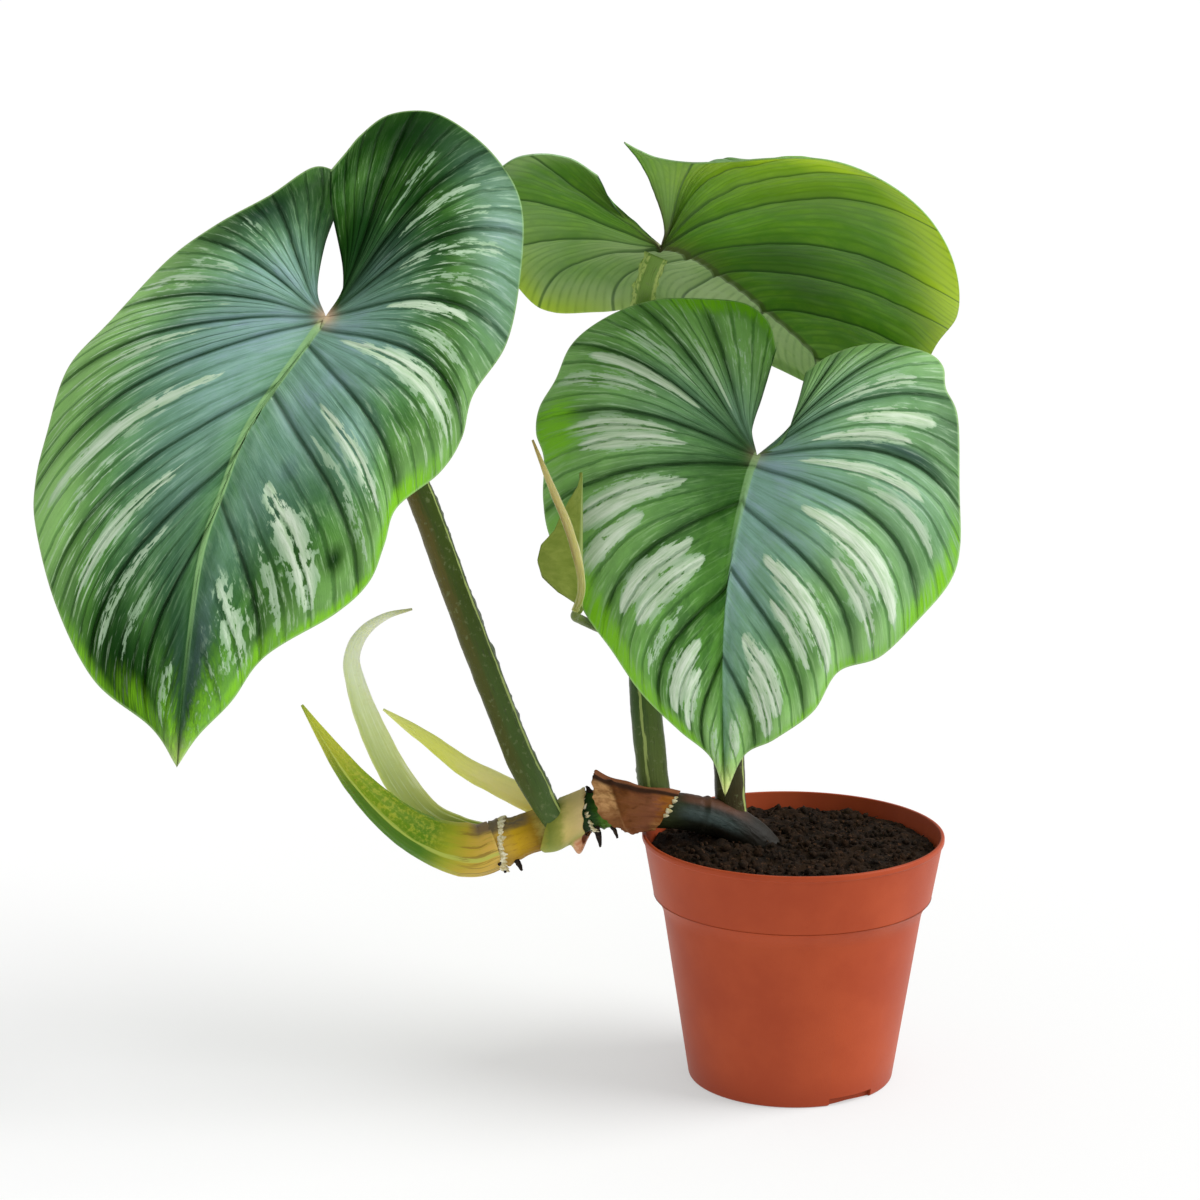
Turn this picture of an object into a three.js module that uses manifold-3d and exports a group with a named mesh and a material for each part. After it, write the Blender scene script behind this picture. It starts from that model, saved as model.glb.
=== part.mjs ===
// A potted philodendron: a creeping stem that leans over the rim of a nursery pot,
// three heart-shaped leaves with silver markings, a folded young leaf and five leaf sheaths.
// Millimetres, +Z up. The origin is the middle of the pot's base; -Y is the front.
import * as THREE from 'three';
import { mergeVertices } from 'three/addons/utils/BufferGeometryUtils.js';
import Module from 'manifold-3d';

const wasm = await Module();
wasm.setup();

// Driving dimensions of the pot
const RIM_RADIUS = 65;
const POT_HEIGHT = 109;
const BAND_BOTTOM = 82;
const BAND_RADIUS = 59.9;
const SHOULDER_HEIGHT = 76.5;
const SHOULDER_RADIUS = 56;
const BASE_RADIUS = 44.5;
const WALL = 1.6;
const FLOOR_THICKNESS = 2.4;
const FOOT_NOTCH_WIDTH = 22;
const FOOT_NOTCH_HEIGHT = 3.6;
const FOOT_NOTCH_AZIMUTHS = [33, 213];
const DRAIN_HOLE_RADIUS = 3.5;
const DRAIN_HOLE_CIRCLE = 35;
const DRAIN_HOLE_COUNT = 8;
const CHANNEL_INNER = 30;
const CHANNEL_OUTER = 41;
const CHANNEL_HEIGHT = 2.2;

// Driving dimensions of the plant
const SOIL_LEVEL = 102.5;
const CLEARANCE = 0.3;
const BLADE_THICKNESS = 0.9;
const MIDRIB_THICKNESS = 2.3;
const COLUMNS_PER_SECTOR = 3;
const BLADE_ROWS = 7;
const VEIN_BEND = 0.12;
const PUCKER = 1.8;

const finish = (name, color, roughness) => new THREE.MeshStandardMaterial({
  name, color, roughness, metalness: 0,
});
const TERRACOTTA = finish('terracotta plastic', 0xb2583a, 0.55);
const SOIL = finish('potting soil', 0x2a1a10, 0.95);
const STEM = finish('creeping stem', 0x9a8a3c, 0.6);
const STALK = finish('leaf stalk', 0x3f5226, 0.5);
const BLADE = finish('silver marked blade', 0x2f6b34, 0.4);
const BLADE_UNDER = finish('blade seen from below', 0x6f9130, 0.5);
const SHEATH_GREEN = finish('green leaf sheath', 0x7f9426, 0.5);
const SHEATH_PALE = finish('pale leaf sheath', 0xb5c293, 0.55);
const SHEATH_YELLOW = finish('yellow leaf sheath', 0xb9c25c, 0.55);
const SHEATH_DRY = finish('dry leaf sheath', 0x6b4028, 0.85);
const YOUNG = finish('young leaf', 0x6a7d33, 0.5);

// Small helpers

const degrees = THREE.MathUtils.degToRad;
const vector = (point) => new THREE.Vector3(...point);
const smooth = (t) => THREE.MathUtils.smoothstep(t, 0, 1);

// A repeatable stream of numbers between 0 and 1
function seeded(seed) {
  let state = seed;
  return () => {
    state = (state * 1664525 + 1013904223) % 4294967296;
    return state / 4294967296;
  };
}

// Values between a list's entries, at t from 0 to 1
function sample(list, t) {
  const place = Math.min(Math.max(t, 0), 1) * (list.length - 1);
  const index = Math.min(Math.floor(place), list.length - 2);
  return THREE.MathUtils.lerp(list[index], list[index + 1], place - index);
}

function indexed(positions, triangles) {
  const geometry = new THREE.BufferGeometry();
  geometry.setAttribute('position', new THREE.Float32BufferAttribute(positions, 3));
  geometry.setIndex(triangles);
  return geometry;
}

// Booleans

function toManifold(geometry) {
  const bare = geometry.clone();
  bare.deleteAttribute('normal');
  bare.deleteAttribute('uv');
  const merged = mergeVertices(bare, 1e-4);
  return new wasm.Manifold(new wasm.Mesh({
    numProp: 3,
    vertProperties: new Float32Array(merged.attributes.position.array),
    triVerts: new Uint32Array(merged.index.array),
  }));
}

function fromManifold(solid) {
  const mesh = solid.getMesh();
  return indexed(Array.from(mesh.vertProperties), Array.from(mesh.triVerts));
}

const cut = (body, tools) => fromManifold(
  tools.reduce((solid, tool) => solid.subtract(toManifold(tool)), toManifold(body)),
);
const join = (body, extras) => fromManifold(
  extras.reduce((solid, extra) => solid.add(toManifold(extra)), toManifold(body)),
);

// A closed tube along points, with radii [across, deep] spread over its length.
// bulge(angle, t) scales the section, so a stalk can be flat on one side or winged.
function tube(points, radii, { sides = 12, steps = 24, grow = 0, bulge = () => 1 } = {}) {
  const curve = new THREE.CatmullRomCurve3(points.map(vector), false, 'centripetal');
  const across = radii.map((radius) => (Array.isArray(radius) ? radius[0] : radius));
  const deep = radii.map((radius) => (Array.isArray(radius) ? radius[1] : radius));
  const positions = [];
  const triangles = [];
  for (let step = 0; step <= steps; step += 1) {
    const t = step / steps;
    const centre = curve.getPointAt(t);
    const along = curve.getTangentAt(t);
    const back = new THREE.Vector3(0, 1, 0);
    const side = new THREE.Vector3().crossVectors(along, back).normalize();
    const depth = new THREE.Vector3().crossVectors(side, along).normalize();
    for (let k = 0; k < sides; k += 1) {
      const angle = (2 * Math.PI * k) / sides;
      const scale = bulge(angle, t);
      const point = centre.clone()
        .addScaledVector(side, Math.cos(angle) * (sample(across, t) * scale + grow))
        .addScaledVector(depth, Math.sin(angle) * (sample(deep, t) * scale + grow));
      positions.push(...point.toArray());
    }
  }
  const first = positions.length / 3;
  positions.push(...curve.getPointAt(0).toArray(), ...curve.getPointAt(1).toArray());
  for (let k = 0; k < sides; k += 1) {
    const next = (k + 1) % sides;
    for (let step = 0; step < steps; step += 1) {
      const a = step * sides + k;
      const b = step * sides + next;
      triangles.push(a, b, b + sides, a, b + sides, a + sides);
    }
    triangles.push(first, next, k);
    triangles.push(first + 1, steps * sides + k, steps * sides + next);
  }
  return outward(indexed(positions, triangles));
}

// Turns a closed body's faces to point out
function outward(geometry) {
  const p = geometry.attributes.position;
  const index = geometry.index.array;
  const [a, b, c] = [new THREE.Vector3(), new THREE.Vector3(), new THREE.Vector3()];
  let volume = 0;
  for (let i = 0; i < index.length; i += 3) {
    a.fromBufferAttribute(p, index[i]);
    b.fromBufferAttribute(p, index[i + 1]);
    c.fromBufferAttribute(p, index[i + 2]);
    volume += a.dot(b.cross(c));
  }
  if (volume < 0) {
    const turned = Array.from(index);
    for (let i = 0; i < turned.length; i += 3) {
      [turned[i + 1], turned[i + 2]] = [turned[i + 2], turned[i + 1]];
    }
    geometry.setIndex(turned);
  }
  return geometry;
}

// Closes two faces that share their triangles into one thin solid, with a rim round the edge
function thinSolid(upper, lower, triangles) {
  const count = upper.length;
  const faces = [];
  const open = new Map();
  triangles.forEach(([a, b, c]) => {
    faces.push(a, b, c, a + count, c + count, b + count);
    [[a, b], [b, c], [c, a]].forEach(([from, to]) => {
      const twin = `${to},${from}`;
      if (open.has(twin)) {
        open.delete(twin);
      } else {
        open.set(`${from},${to}`, [from, to]);
      }
    });
  });
  open.forEach(([from, to]) => {
    faces.push(from, from + count, to + count, from, to + count, to);
  });
  const positions = [...upper, ...lower].flatMap((point) => point.toArray());
  return outward(indexed(positions, faces));
}

// The pot: a turned shell with a deep rim band, a foot ring with two notches and drain holes

function potGeometry() {
  const profile = [
    [0, 0], [CHANNEL_INNER, 0], [CHANNEL_INNER + 1, CHANNEL_HEIGHT],
    [CHANNEL_OUTER - 1, CHANNEL_HEIGHT], [CHANNEL_OUTER, 0],
    [BASE_RADIUS - 1.5, 0], [BASE_RADIUS - 0.4, 0.5], [BASE_RADIUS, 1.8],
    [SHOULDER_RADIUS, SHOULDER_HEIGHT], [BAND_RADIUS - 0.9, BAND_BOTTOM - 0.6],
    [BAND_RADIUS, BAND_BOTTOM], [RIM_RADIUS - 0.7, POT_HEIGHT - 2.6],
    [RIM_RADIUS, POT_HEIGHT - 2.2], [RIM_RADIUS, POT_HEIGHT - 0.6],
    [RIM_RADIUS - 0.6, POT_HEIGHT], [RIM_RADIUS - WALL, POT_HEIGHT],
    [BAND_RADIUS - WALL, BAND_BOTTOM], [SHOULDER_RADIUS - WALL, SHOULDER_HEIGHT],
    [BASE_RADIUS - WALL, CHANNEL_HEIGHT + FLOOR_THICKNESS],
    [0, CHANNEL_HEIGHT + FLOOR_THICKNESS],
  ];
  const body = new THREE.LatheGeometry(profile.map(([r, z]) => new THREE.Vector2(r, z)), 48);
  body.rotateX(Math.PI / 2);
  const holes = [];
  for (let k = 0; k < DRAIN_HOLE_COUNT; k += 1) {
    const angle = (2 * Math.PI * (k + 0.5)) / DRAIN_HOLE_COUNT;
    const hole = new THREE.CylinderGeometry(DRAIN_HOLE_RADIUS, DRAIN_HOLE_RADIUS, 20, 10);
    hole.rotateX(Math.PI / 2);
    hole.translate(DRAIN_HOLE_CIRCLE * Math.cos(angle), DRAIN_HOLE_CIRCLE * Math.sin(angle), 0);
    holes.push(hole);
  }
  FOOT_NOTCH_AZIMUTHS.forEach((azimuth) => {
    const reach = 8;
    const notch = new THREE.BoxGeometry(FOOT_NOTCH_WIDTH, 2 * reach, 2 * FOOT_NOTCH_HEIGHT);
    notch.translate(0, -CHANNEL_OUTER - reach, 0);
    notch.rotateZ(degrees(azimuth));
    holes.push(notch);
  });
  return cut(outward(body), holes);
}

// The soil: a plug with a crumbly top, a little higher round the stem, and plain holes

function soilHeight(x, y) {
  const waves = Math.sin(x * 0.19 + 1.1) * Math.cos(y * 0.23 + 0.4)
    + 0.6 * Math.sin(x * 0.51 + y * 0.37) + 0.4 * Math.cos(x * 0.33 - y * 0.71 + 2);
  const mound = 2.5 * Math.exp(-((x + 34) ** 2 + (y - 2) ** 2) / 500);
  return SOIL_LEVEL + 0.8 * waves + mound;
}

function soilGeometry(stems) {
  const rings = 9;
  const spokes = 36;
  const gap = WALL + 0.6;
  const bandSlope = (RIM_RADIUS - BAND_RADIUS) / (POT_HEIGHT - BAND_BOTTOM);
  const top = BAND_RADIUS + bandSlope * (SOIL_LEVEL - 3 - BAND_BOTTOM) - gap;
  const bottomZ = CHANNEL_HEIGHT + FLOOR_THICKNESS + CLEARANCE;
  const random = seeded(7);
  const positions = [0, 0, soilHeight(0, 0)];
  const triangles = [];
  for (let ring = 1; ring <= rings; ring += 1) {
    for (let spoke = 0; spoke < spokes; spoke += 1) {
      const edge = ring === rings;
      const jitter = edge ? 0 : (random() - 0.5) * 2.4;
      const radius = (top * ring) / rings + jitter;
      const angle = (2 * Math.PI * (spoke + (edge ? 0 : random() - 0.5) * 0.5)) / spokes;
      const x = radius * Math.cos(angle);
      const y = radius * Math.sin(angle);
      const crumb = edge ? -1 : (random() - 0.5) * 1.6;
      positions.push(x, y, soilHeight(x, y) + crumb);
    }
  }
  const at = (ring, spoke) => 1 + (ring - 1) * spokes + (spoke % spokes);
  for (let spoke = 0; spoke < spokes; spoke += 1) {
    triangles.push(0, at(1, spoke), at(1, spoke + 1));
    for (let ring = 1; ring < rings; ring += 1) {
      triangles.push(at(ring, spoke), at(ring + 1, spoke), at(ring + 1, spoke + 1));
      triangles.push(at(ring, spoke), at(ring + 1, spoke + 1), at(ring, spoke + 1));
    }
  }
  // The sides follow the pot's inner wall down to its floor
  const wall = [
    [BAND_RADIUS - gap, BAND_BOTTOM], [SHOULDER_RADIUS - gap, SHOULDER_HEIGHT],
    [BASE_RADIUS - gap, bottomZ],
  ];
  wall.forEach(([radius, z]) => {
    for (let spoke = 0; spoke < spokes; spoke += 1) {
      const angle = (2 * Math.PI * spoke) / spokes;
      positions.push(radius * Math.cos(angle), radius * Math.sin(angle), z);
    }
  });
  for (let ring = rings; ring < rings + wall.length; ring += 1) {
    for (let spoke = 0; spoke < spokes; spoke += 1) {
      triangles.push(at(ring, spoke), at(ring + 1, spoke), at(ring + 1, spoke + 1));
      triangles.push(at(ring, spoke), at(ring + 1, spoke + 1), at(ring, spoke + 1));
    }
  }
  positions.push(0, 0, bottomZ);
  const last = positions.length / 3 - 1;
  for (let spoke = 0; spoke < spokes; spoke += 1) {
    const ring = rings + wall.length;
    triangles.push(last, at(ring, spoke + 1), at(ring, spoke));
  }
  return cut(outward(indexed(positions, triangles)), stems);
}

// The creeping stem: from its buried end, over the pot's rim, to its growing end.
// Its radii swell at the nodes, where root stubs and stalks stand.

const STEM_POINTS = [
  [-2, 10, 84], [-8, 9, 94], [-17, 7, 104], [-29, 5, 112], [-43, 2, 117],
  [-58, 0, 119.2], [-74, -2, 120.4], [-88, -2, 119.2], [-100, -2, 114.5],
  [-113, -2.5, 109.5], [-122, -3, 106.3], [-128, -3, 104.4],
];
const STEM_RADII = [5, 7.5, 8, 8.1, 8.1, 8, 7.9, 7.8, 7.8, 9, 10.3, 9.4, 8.9, 10.8];

const stemTube = (grow) => tube(STEM_POINTS, STEM_RADII, { sides: 16, steps: 28, grow });

// Root stubs: [foot, tip, radius], short blunt cones under the nodes
const ROOT_STUBS = [
  [[-86, -7, 113], [-84.5, -11, 103.5], 1.9],
  [[-80, -6, 114], [-77, -9, 107.2], 1.6],
  [[-90.5, -6, 111], [-91.3, -9, 101], 2.6],
  [[-90, 4, 112], [-88, 8, 104], 1.8],
  [[-122, -7, 99.5], [-118.8, -9, 93.8], 1.7],
  [[-126, -7, 98.5], [-124.6, -10, 92.6], 1.6],
  [[-120, 2, 99], [-117, 6, 94], 1.6],
];

function rootStub([foot, tip, radius], grow = 0) {
  const middle = foot.map((value, axis) => (value + tip[axis]) / 2 + (axis === 2 ? -0.6 : 0.3));
  const core = foot.map((value, axis) => value + (foot[axis] - tip[axis]) * 0.25);
  return tube([core, foot, middle, tip], [radius, radius, radius * 0.8, 0.45], {
    sides: 7, steps: 5, grow,
  });
}

// Pale scale points in rings round three nodes: the ring's middle, direction, radius and count
const SCALE_RINGS = [
  { at: [-124.5, -3, 105.4], toward: [-1, 0, -0.33], ring: 9.2, count: 13 },
  { at: [-91.5, -2, 118.1], toward: [-1, 0, -0.35], ring: 9.6, count: 12 },
  { at: [-48.5, 1, 117.8], toward: [-0.86, 0, 0.5], ring: 8.3, count: 11 },
];

function scalePoints({ at, toward, ring, count }) {
  const along = vector(toward).normalize();
  const side = new THREE.Vector3(0, 1, 0);
  const up = new THREE.Vector3().crossVectors(side, along).normalize();
  return Array.from({ length: count }, (_, k) => {
    const angle = (2 * Math.PI * k) / count;
    const out = side.clone().multiplyScalar(Math.cos(angle)).addScaledVector(up, Math.sin(angle));
    const foot = vector(at).addScaledVector(out, ring - 2);
    const tip = vector(at).addScaledVector(out, ring + 1.1).addScaledVector(along, 1.2);
    return tube([foot.toArray(), tip.toArray()], [1.2, 0.6], { sides: 4, steps: 1 });
  });
}

// Leaf stalks: flat on the face toward the stem's tip, with two thin waved wings

const WING = 0.16;

function stalkSection(angle, t) {
  const flat = 1 - 0.2 * Math.max(0, Math.sin(angle)) ** 3;
  const wing = Math.exp(-(((Math.abs(Math.cos(angle)) - 0.87) / 0.09) ** 2));
  const ruffle = 1 + 0.6 * Math.sin(t * 75 + 2 * Math.cos(angle));
  return flat + (Math.sin(angle) > 0 ? WING * wing * ruffle : 0);
}

const STALK_SHAPE = { sides: 12, steps: 22, bulge: stalkSection };

const STALKS = {
  stalk_left: {
    points: [[-97.5, -10, 108], [-100, -11, 113], [-106, -10.5, 123.5], [-116.5, -6, 142.7],
      [-128.4, -4, 173], [-144, -8, 217.4], [-157, -15, 257], [-171.5, -22, 293],
      [-184, -28, 320], [-190.4, -33.5, 331]],
    radii: [[5.5, 6], [7, 6], [6.4, 6.2], [6.2, 6.2], [6, 6], [5.9, 5.9], [5.6, 5.6], [5, 5], [4.2, 4.2]],
  },
  stalk_back: {
    points: [[-59, 4.5, 119], [-60, 8, 128.6], [-62, 10, 147.3], [-64, 14, 168.5],
      [-66, 21, 207], [-67.6, 30, 249.5], [-67.6, 39, 291.9], [-66, 43, 325],
      [-62.4, 43.5, 343], [-58.6, 44.4, 352]],
    radii: [[6.6, 6], [6.8, 6.2], [6, 6], [5.6, 5.6], [5.2, 5.2], [5, 5], [4.8, 4.8], [4.4, 4.2]],
  },
  stalk_front: {
    points: [[-25, 8, 110], [-26.5, 9, 121], [-27.4, 10, 136.4], [-28.4, 13, 164.6],
      [-27.7, 16, 199.2], [-25, 16, 234], [-21.5, 10, 258], [-18.4, -1.4, 271.8]],
    radii: [[6.4, 6.2], [6.7, 6.3], [6.2, 6.2], [5.8, 5.8], [5.4, 5.4], [5, 5], [4.4, 4.2]],
  },
};

const stalkTube = ({ points, radii }, grow = 0) => tube(points, radii, { ...STALK_SHAPE, grow });

// Leaf blades. Each blade is drawn flat in its own frame: +y runs from the point where
// the stalk joins up between the two lobes, -y down the midrib, and +z out of the upper face.
// gap and edge are the outline's points on each side, from that point round to the tip, and
// veins are where the main veins meet the edge, as shares of its length. The last four
// veins leave the midrib at the shares in roots, and the others leave the joint itself.

const LEAVES = {
  leaf_front: {
    joint: [-17.5, -6, 274.8], facing: -6, lift: 24, roll: -3,
    length: 150, halfWidth: 95, arch: 20, lobeDrop: 12, valley: 5, droop: 18,
    lobeLift: { left: 0, right: 0 }, wave: { height: 3, count: 7, phase: 0.6 },
    midrib: [[-3, -11], [-7, -41], [-8, -70], [-6, -103], [-2, -142]],
    roots: [0.05, 0.15, 0.4, 0.65],
    left: {
      gap: [[-3, 10], [0, 26], [4, 48]],
      edge: [[-1, 61], [-12, 69], [-31, 69], [-50, 66], [-70, 57], [-84, 46], [-90, 31],
        [-96, 19], [-96, 7], [-91, -5], [-89, -24], [-84, -41], [-68, -69], [-54, -86],
        [-40, -103], [-23, -117], [-9, -127], [-2, -142]],
      veins: [0.14, 0.22, 0.32, 0.43, 0.56, 0.74, 0.87, 0.94],
    },
    right: {
      gap: [[7, 5], [12, 22], [17, 37]],
      edge: [[29, 46], [47, 53], [66, 53], [74, 48], [76, 38], [82, 25], [85, -7], [87, -30],
        [84, -45], [73, -62], [58, -80], [41, -88], [32, -105], [17, -118], [5, -125], [-2, -142]],
      veins: [0.06, 0.14, 0.24, 0.36, 0.57, 0.73, 0.84, 0.92],
    },
  },
  leaf_left: {
    joint: [-194, -38, 337.5], facing: 10, lift: 24, roll: -18,
    length: 195, halfWidth: 110, arch: 34, lobeDrop: 16, valley: 6, droop: 26,
    lobeLift: { left: -7, right: 9 }, wave: { height: 3.5, count: 7, phase: 1.2 },
    midrib: [[-6, -17], [-18, -53], [-21, -81], [-22, -110], [-14, -164], [-9, -189]],
    roots: [0.06, 0.19, 0.36, 0.57],
    left: {
      gap: [[-6, 10], [-8, 31], [-7, 51], [-9, 66]],
      edge: [[-21, 64], [-35, 45], [-53, 25], [-68, 5], [-83, -25], [-94, -47], [-95, -74],
        [-94, -93], [-89, -111], [-73, -139], [-50, -164], [-23, -177], [-9, -189]],
      veins: [0.11, 0.22, 0.35, 0.48, 0.61, 0.73, 0.84, 0.94],
    },
    right: {
      gap: [[4, 8], [1, 22], [-10, 44], [-14, 59]],
      edge: [[-10, 70], [-6, 81], [2, 94], [14, 99], [27, 97], [49, 85], [65, 68], [72, 40],
        [74, 12], [66, -14], [66, -33], [61, -49], [48, -68], [47, -84], [45, -100],
        [35, -116], [13, -139], [5, -159], [-4, -175], [-9, -189]],
      veins: [0.13, 0.22, 0.32, 0.43, 0.55, 0.65, 0.75, 0.87],
    },
  },
  leaf_back: {
    joint: [-57, 46, 356.6], facing: 166, lift: 49, roll: -33,
    length: 160, halfWidth: 105, arch: 22, lobeDrop: 10, valley: 4, droop: 18,
    lobeLift: { left: 0, right: 0 }, wave: { height: 2.5, count: 6, phase: 0.3 },
    midrib: [[-7, -11], [-10, -40], [-11, -74], [-12, -110], [-16, -139]],
    roots: [0.09, 0.2, 0.41, 0.66],
    left: {
      gap: [[-10, 9], [-23, 30], [-36, 53], [-42, 67]],
      edge: [[-43, 59], [-47, 51], [-62, 45], [-97, 42], [-125, 31], [-135, 6], [-136, -22],
        [-124, -52], [-96, -86], [-67, -107], [-41, -125], [-16, -139]],
      veins: [0.1, 0.25, 0.37, 0.48, 0.65, 0.76, 0.86, 0.94],
    },
    right: {
      gap: [[-2, 28], [-13, 53]],
      edge: [[-13, 72], [-2, 89], [22, 82], [38, 68], [66, 32], [75, 6], [72, -9], [57, -22],
        [36, -38], [22, -77], [8, -102], [-5, -122], [-16, -139]],
      veins: [0.1, 0.22, 0.38, 0.5, 0.6, 0.7, 0.81, 0.91],
    },
  },
};
const LOBE_VEINS = 4;

// A smooth line through flat points, read by its share of length
class FlatLine {
  constructor(points) {
    const ends = [
      points[0].map((value, axis) => 2 * value - points[1][axis]),
      points.at(-1).map((value, axis) => 2 * value - points.at(-2)[axis]),
    ];
    const all = [ends[0], ...points, ends[1]];
    this.points = [];
    const pieces = 12;
    for (let i = 1; i < all.length - 2; i += 1) {
      for (let k = 0; k < pieces; k += 1) {
        this.points.push([0, 1].map((axis) => {
          const [p0, p1, p2, p3] = [-1, 0, 1, 2].map((step) => all[i + step][axis]);
          const t = k / pieces;
          return 0.5 * (2 * p1 + (p2 - p0) * t + (2 * p0 - 5 * p1 + 4 * p2 - p3) * t * t
            + (3 * p1 - p0 - 3 * p2 + p3) * t * t * t);
        }));
      }
    }
    this.points.push(points.at(-1));
    this.lengths = [0];
    for (let i = 1; i < this.points.length; i += 1) {
      const [a, b] = [this.points[i - 1], this.points[i]];
      this.lengths.push(this.lengths[i - 1] + Math.hypot(b[0] - a[0], b[1] - a[1]));
    }
  }

  at(share) {
    const wanted = Math.min(Math.max(share, 0), 1) * this.lengths.at(-1);
    let i = 1;
    while (i < this.lengths.length - 1 && this.lengths[i] < wanted) i += 1;
    const t = (wanted - this.lengths[i - 1]) / (this.lengths[i] - this.lengths[i - 1]);
    return [0, 1].map((axis) => THREE.MathUtils.lerp(
      this.points[i - 1][axis],
      this.points[i][axis],
      t,
    ));
  }
}

// How far the blade stands out of its flat frame: it hangs at the tip, lobes and sides,
// rises on both sides of the midrib, and its edge waves
function bladeHeight(leaf, x, y, side) {
  const { length, halfWidth, wave } = leaf;
  const down = Math.max(-y / length, 0);
  const up = Math.max(y / (0.5 * length), 0);
  const hang = -leaf.arch * down ** 2 - leaf.lobeDrop * up ** 2 - leaf.droop * (x / halfWidth) ** 2;
  const rise = leaf.valley * (1 - Math.exp(-((x / (0.16 * halfWidth)) ** 2)));
  const lobe = leaf.lobeLift[side] * smooth((y - 4) / (0.22 * length));
  const middle = y + 0.25 * length;
  const turn = Math.atan2(x, -middle);
  const reach = Math.min(Math.hypot(x / halfWidth, middle / (0.62 * length)), 1.2);
  return hang + rise + lobe + wave.height * Math.sin(wave.count * turn + wave.phase) * reach ** 3;
}

// A flat point at vein place v (0 is the lobe's inner edge, 9 the tip) and reach r
// (0 is the midrib, 1 the edge)
function bladePoint(lines, leaf, side, v, r) {
  const half = leaf[side];
  const stops = [0, ...half.veins, 1];
  const starts = [...Array(LOBE_VEINS + 1).fill(0), ...leaf.roots, 1];
  const foot = lines.midrib.at(sample(starts, v / (starts.length - 1)));
  const end = lines[side].edge.at(sample(stops, v / (stops.length - 1)));
  const across = [end[0] - foot[0], end[1] - foot[1]];
  const turn = side === 'left' ? 1 : -1;
  const bend = (4 * VEIN_BEND) * r * (1 - r) / 2;
  const point = [
    foot[0] + across[0] * r + turn * across[1] * bend,
    foot[1] + across[1] * r - turn * across[0] * bend,
  ];
  // Near the lobe's inner edge the veins run beside that edge
  const follow = Math.max(0, 1 - v / 1.6) ** 2;
  if (follow > 0) {
    const innerEnd = lines[side].edge.at(0);
    const inner = lines[side].gap.at(r);
    point[0] += follow * (inner[0] - innerEnd[0] * r - turn * innerEnd[1] * bend);
    point[1] += follow * (inner[1] - innerEnd[1] * r + turn * innerEnd[0] * bend);
  }
  return point;
}

function leafGeometry(leaf) {
  const lines = {
    midrib: new FlatLine([[0, 0], ...leaf.midrib]),
    left: { gap: new FlatLine([[0, 0], ...leaf.left.gap]) },
    right: { gap: new FlatLine([[0, 0], ...leaf.right.gap]) },
  };
  ['left', 'right'].forEach((side) => {
    lines[side].edge = new FlatLine([leaf[side].gap.at(-1), ...leaf[side].edge]);
  });
  const frame = new THREE.Matrix4().makeTranslation(...leaf.joint)
    .multiply(new THREE.Matrix4().makeRotationZ(degrees(leaf.facing)))
    .multiply(new THREE.Matrix4().makeRotationX(degrees(90 - leaf.lift)))
    .multiply(new THREE.Matrix4().makeRotationZ(degrees(leaf.roll)));
  const sectors = leaf.left.veins.length + 1;
  const columns = sectors * COLUMNS_PER_SECTOR;
  const fan = LOBE_VEINS * COLUMNS_PER_SECTOR;
  const upper = [];
  const lower = [];
  const known = new Map();
  const vertex = (side, i, j) => {
    let key = `${side}${i},${j}`;
    if (j === 0) key = i <= fan ? 'joint' : `midrib${i}`;
    if (i === columns) key = 'tip';
    if (!known.has(key)) {
      const v = i / COLUMNS_PER_SECTOR;
      const r = j / BLADE_ROWS;
      const [x, y] = bladePoint(lines, leaf, side, v, r);
      const pucker = PUCKER * Math.sin(Math.PI * (v % 1)) * Math.sin(Math.PI * Math.sqrt(r));
      const height = bladeHeight(leaf, x, y, side) + pucker;
      const thickness = j === 0 && i < columns ? MIDRIB_THICKNESS : BLADE_THICKNESS;
      known.set(key, upper.length);
      upper.push(new THREE.Vector3(x, y, height).applyMatrix4(frame));
      lower.push(new THREE.Vector3(x, y, height - thickness).applyMatrix4(frame));
    }
    return known.get(key);
  };
  const triangles = [];
  ['left', 'right'].forEach((side) => {
    const push = (a, b, c) => {
      if (a === b || b === c || c === a) return;
      triangles.push(side === 'left' ? [a, b, c] : [a, c, b]);
    };
    for (let i = 0; i < columns; i += 1) {
      for (let j = 0; j < BLADE_ROWS; j += 1) {
        const [a, b, c, d] = [vertex(side, i, j), vertex(side, i, j + 1),
          vertex(side, i + 1, j + 1), vertex(side, i + 1, j)];
        push(a, b, c);
        push(a, c, d);
      }
    }
  });
  return thinSolid(upper, lower, triangles);
}

// The young leaf: still folded along its midrib, upright in front of the front leaf's edge

const YOUNG_LEAF = {
  foot: [-90.5, -32, 215.5], tip: [-90.7, -10, 268], belly: [0, 0.55, 0.9, 1, 0.92, 0.62, 0.48, 0.3, 0.1, 0],
  width: 18.5, opening: 13, thickness: 0.9,
};

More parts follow.
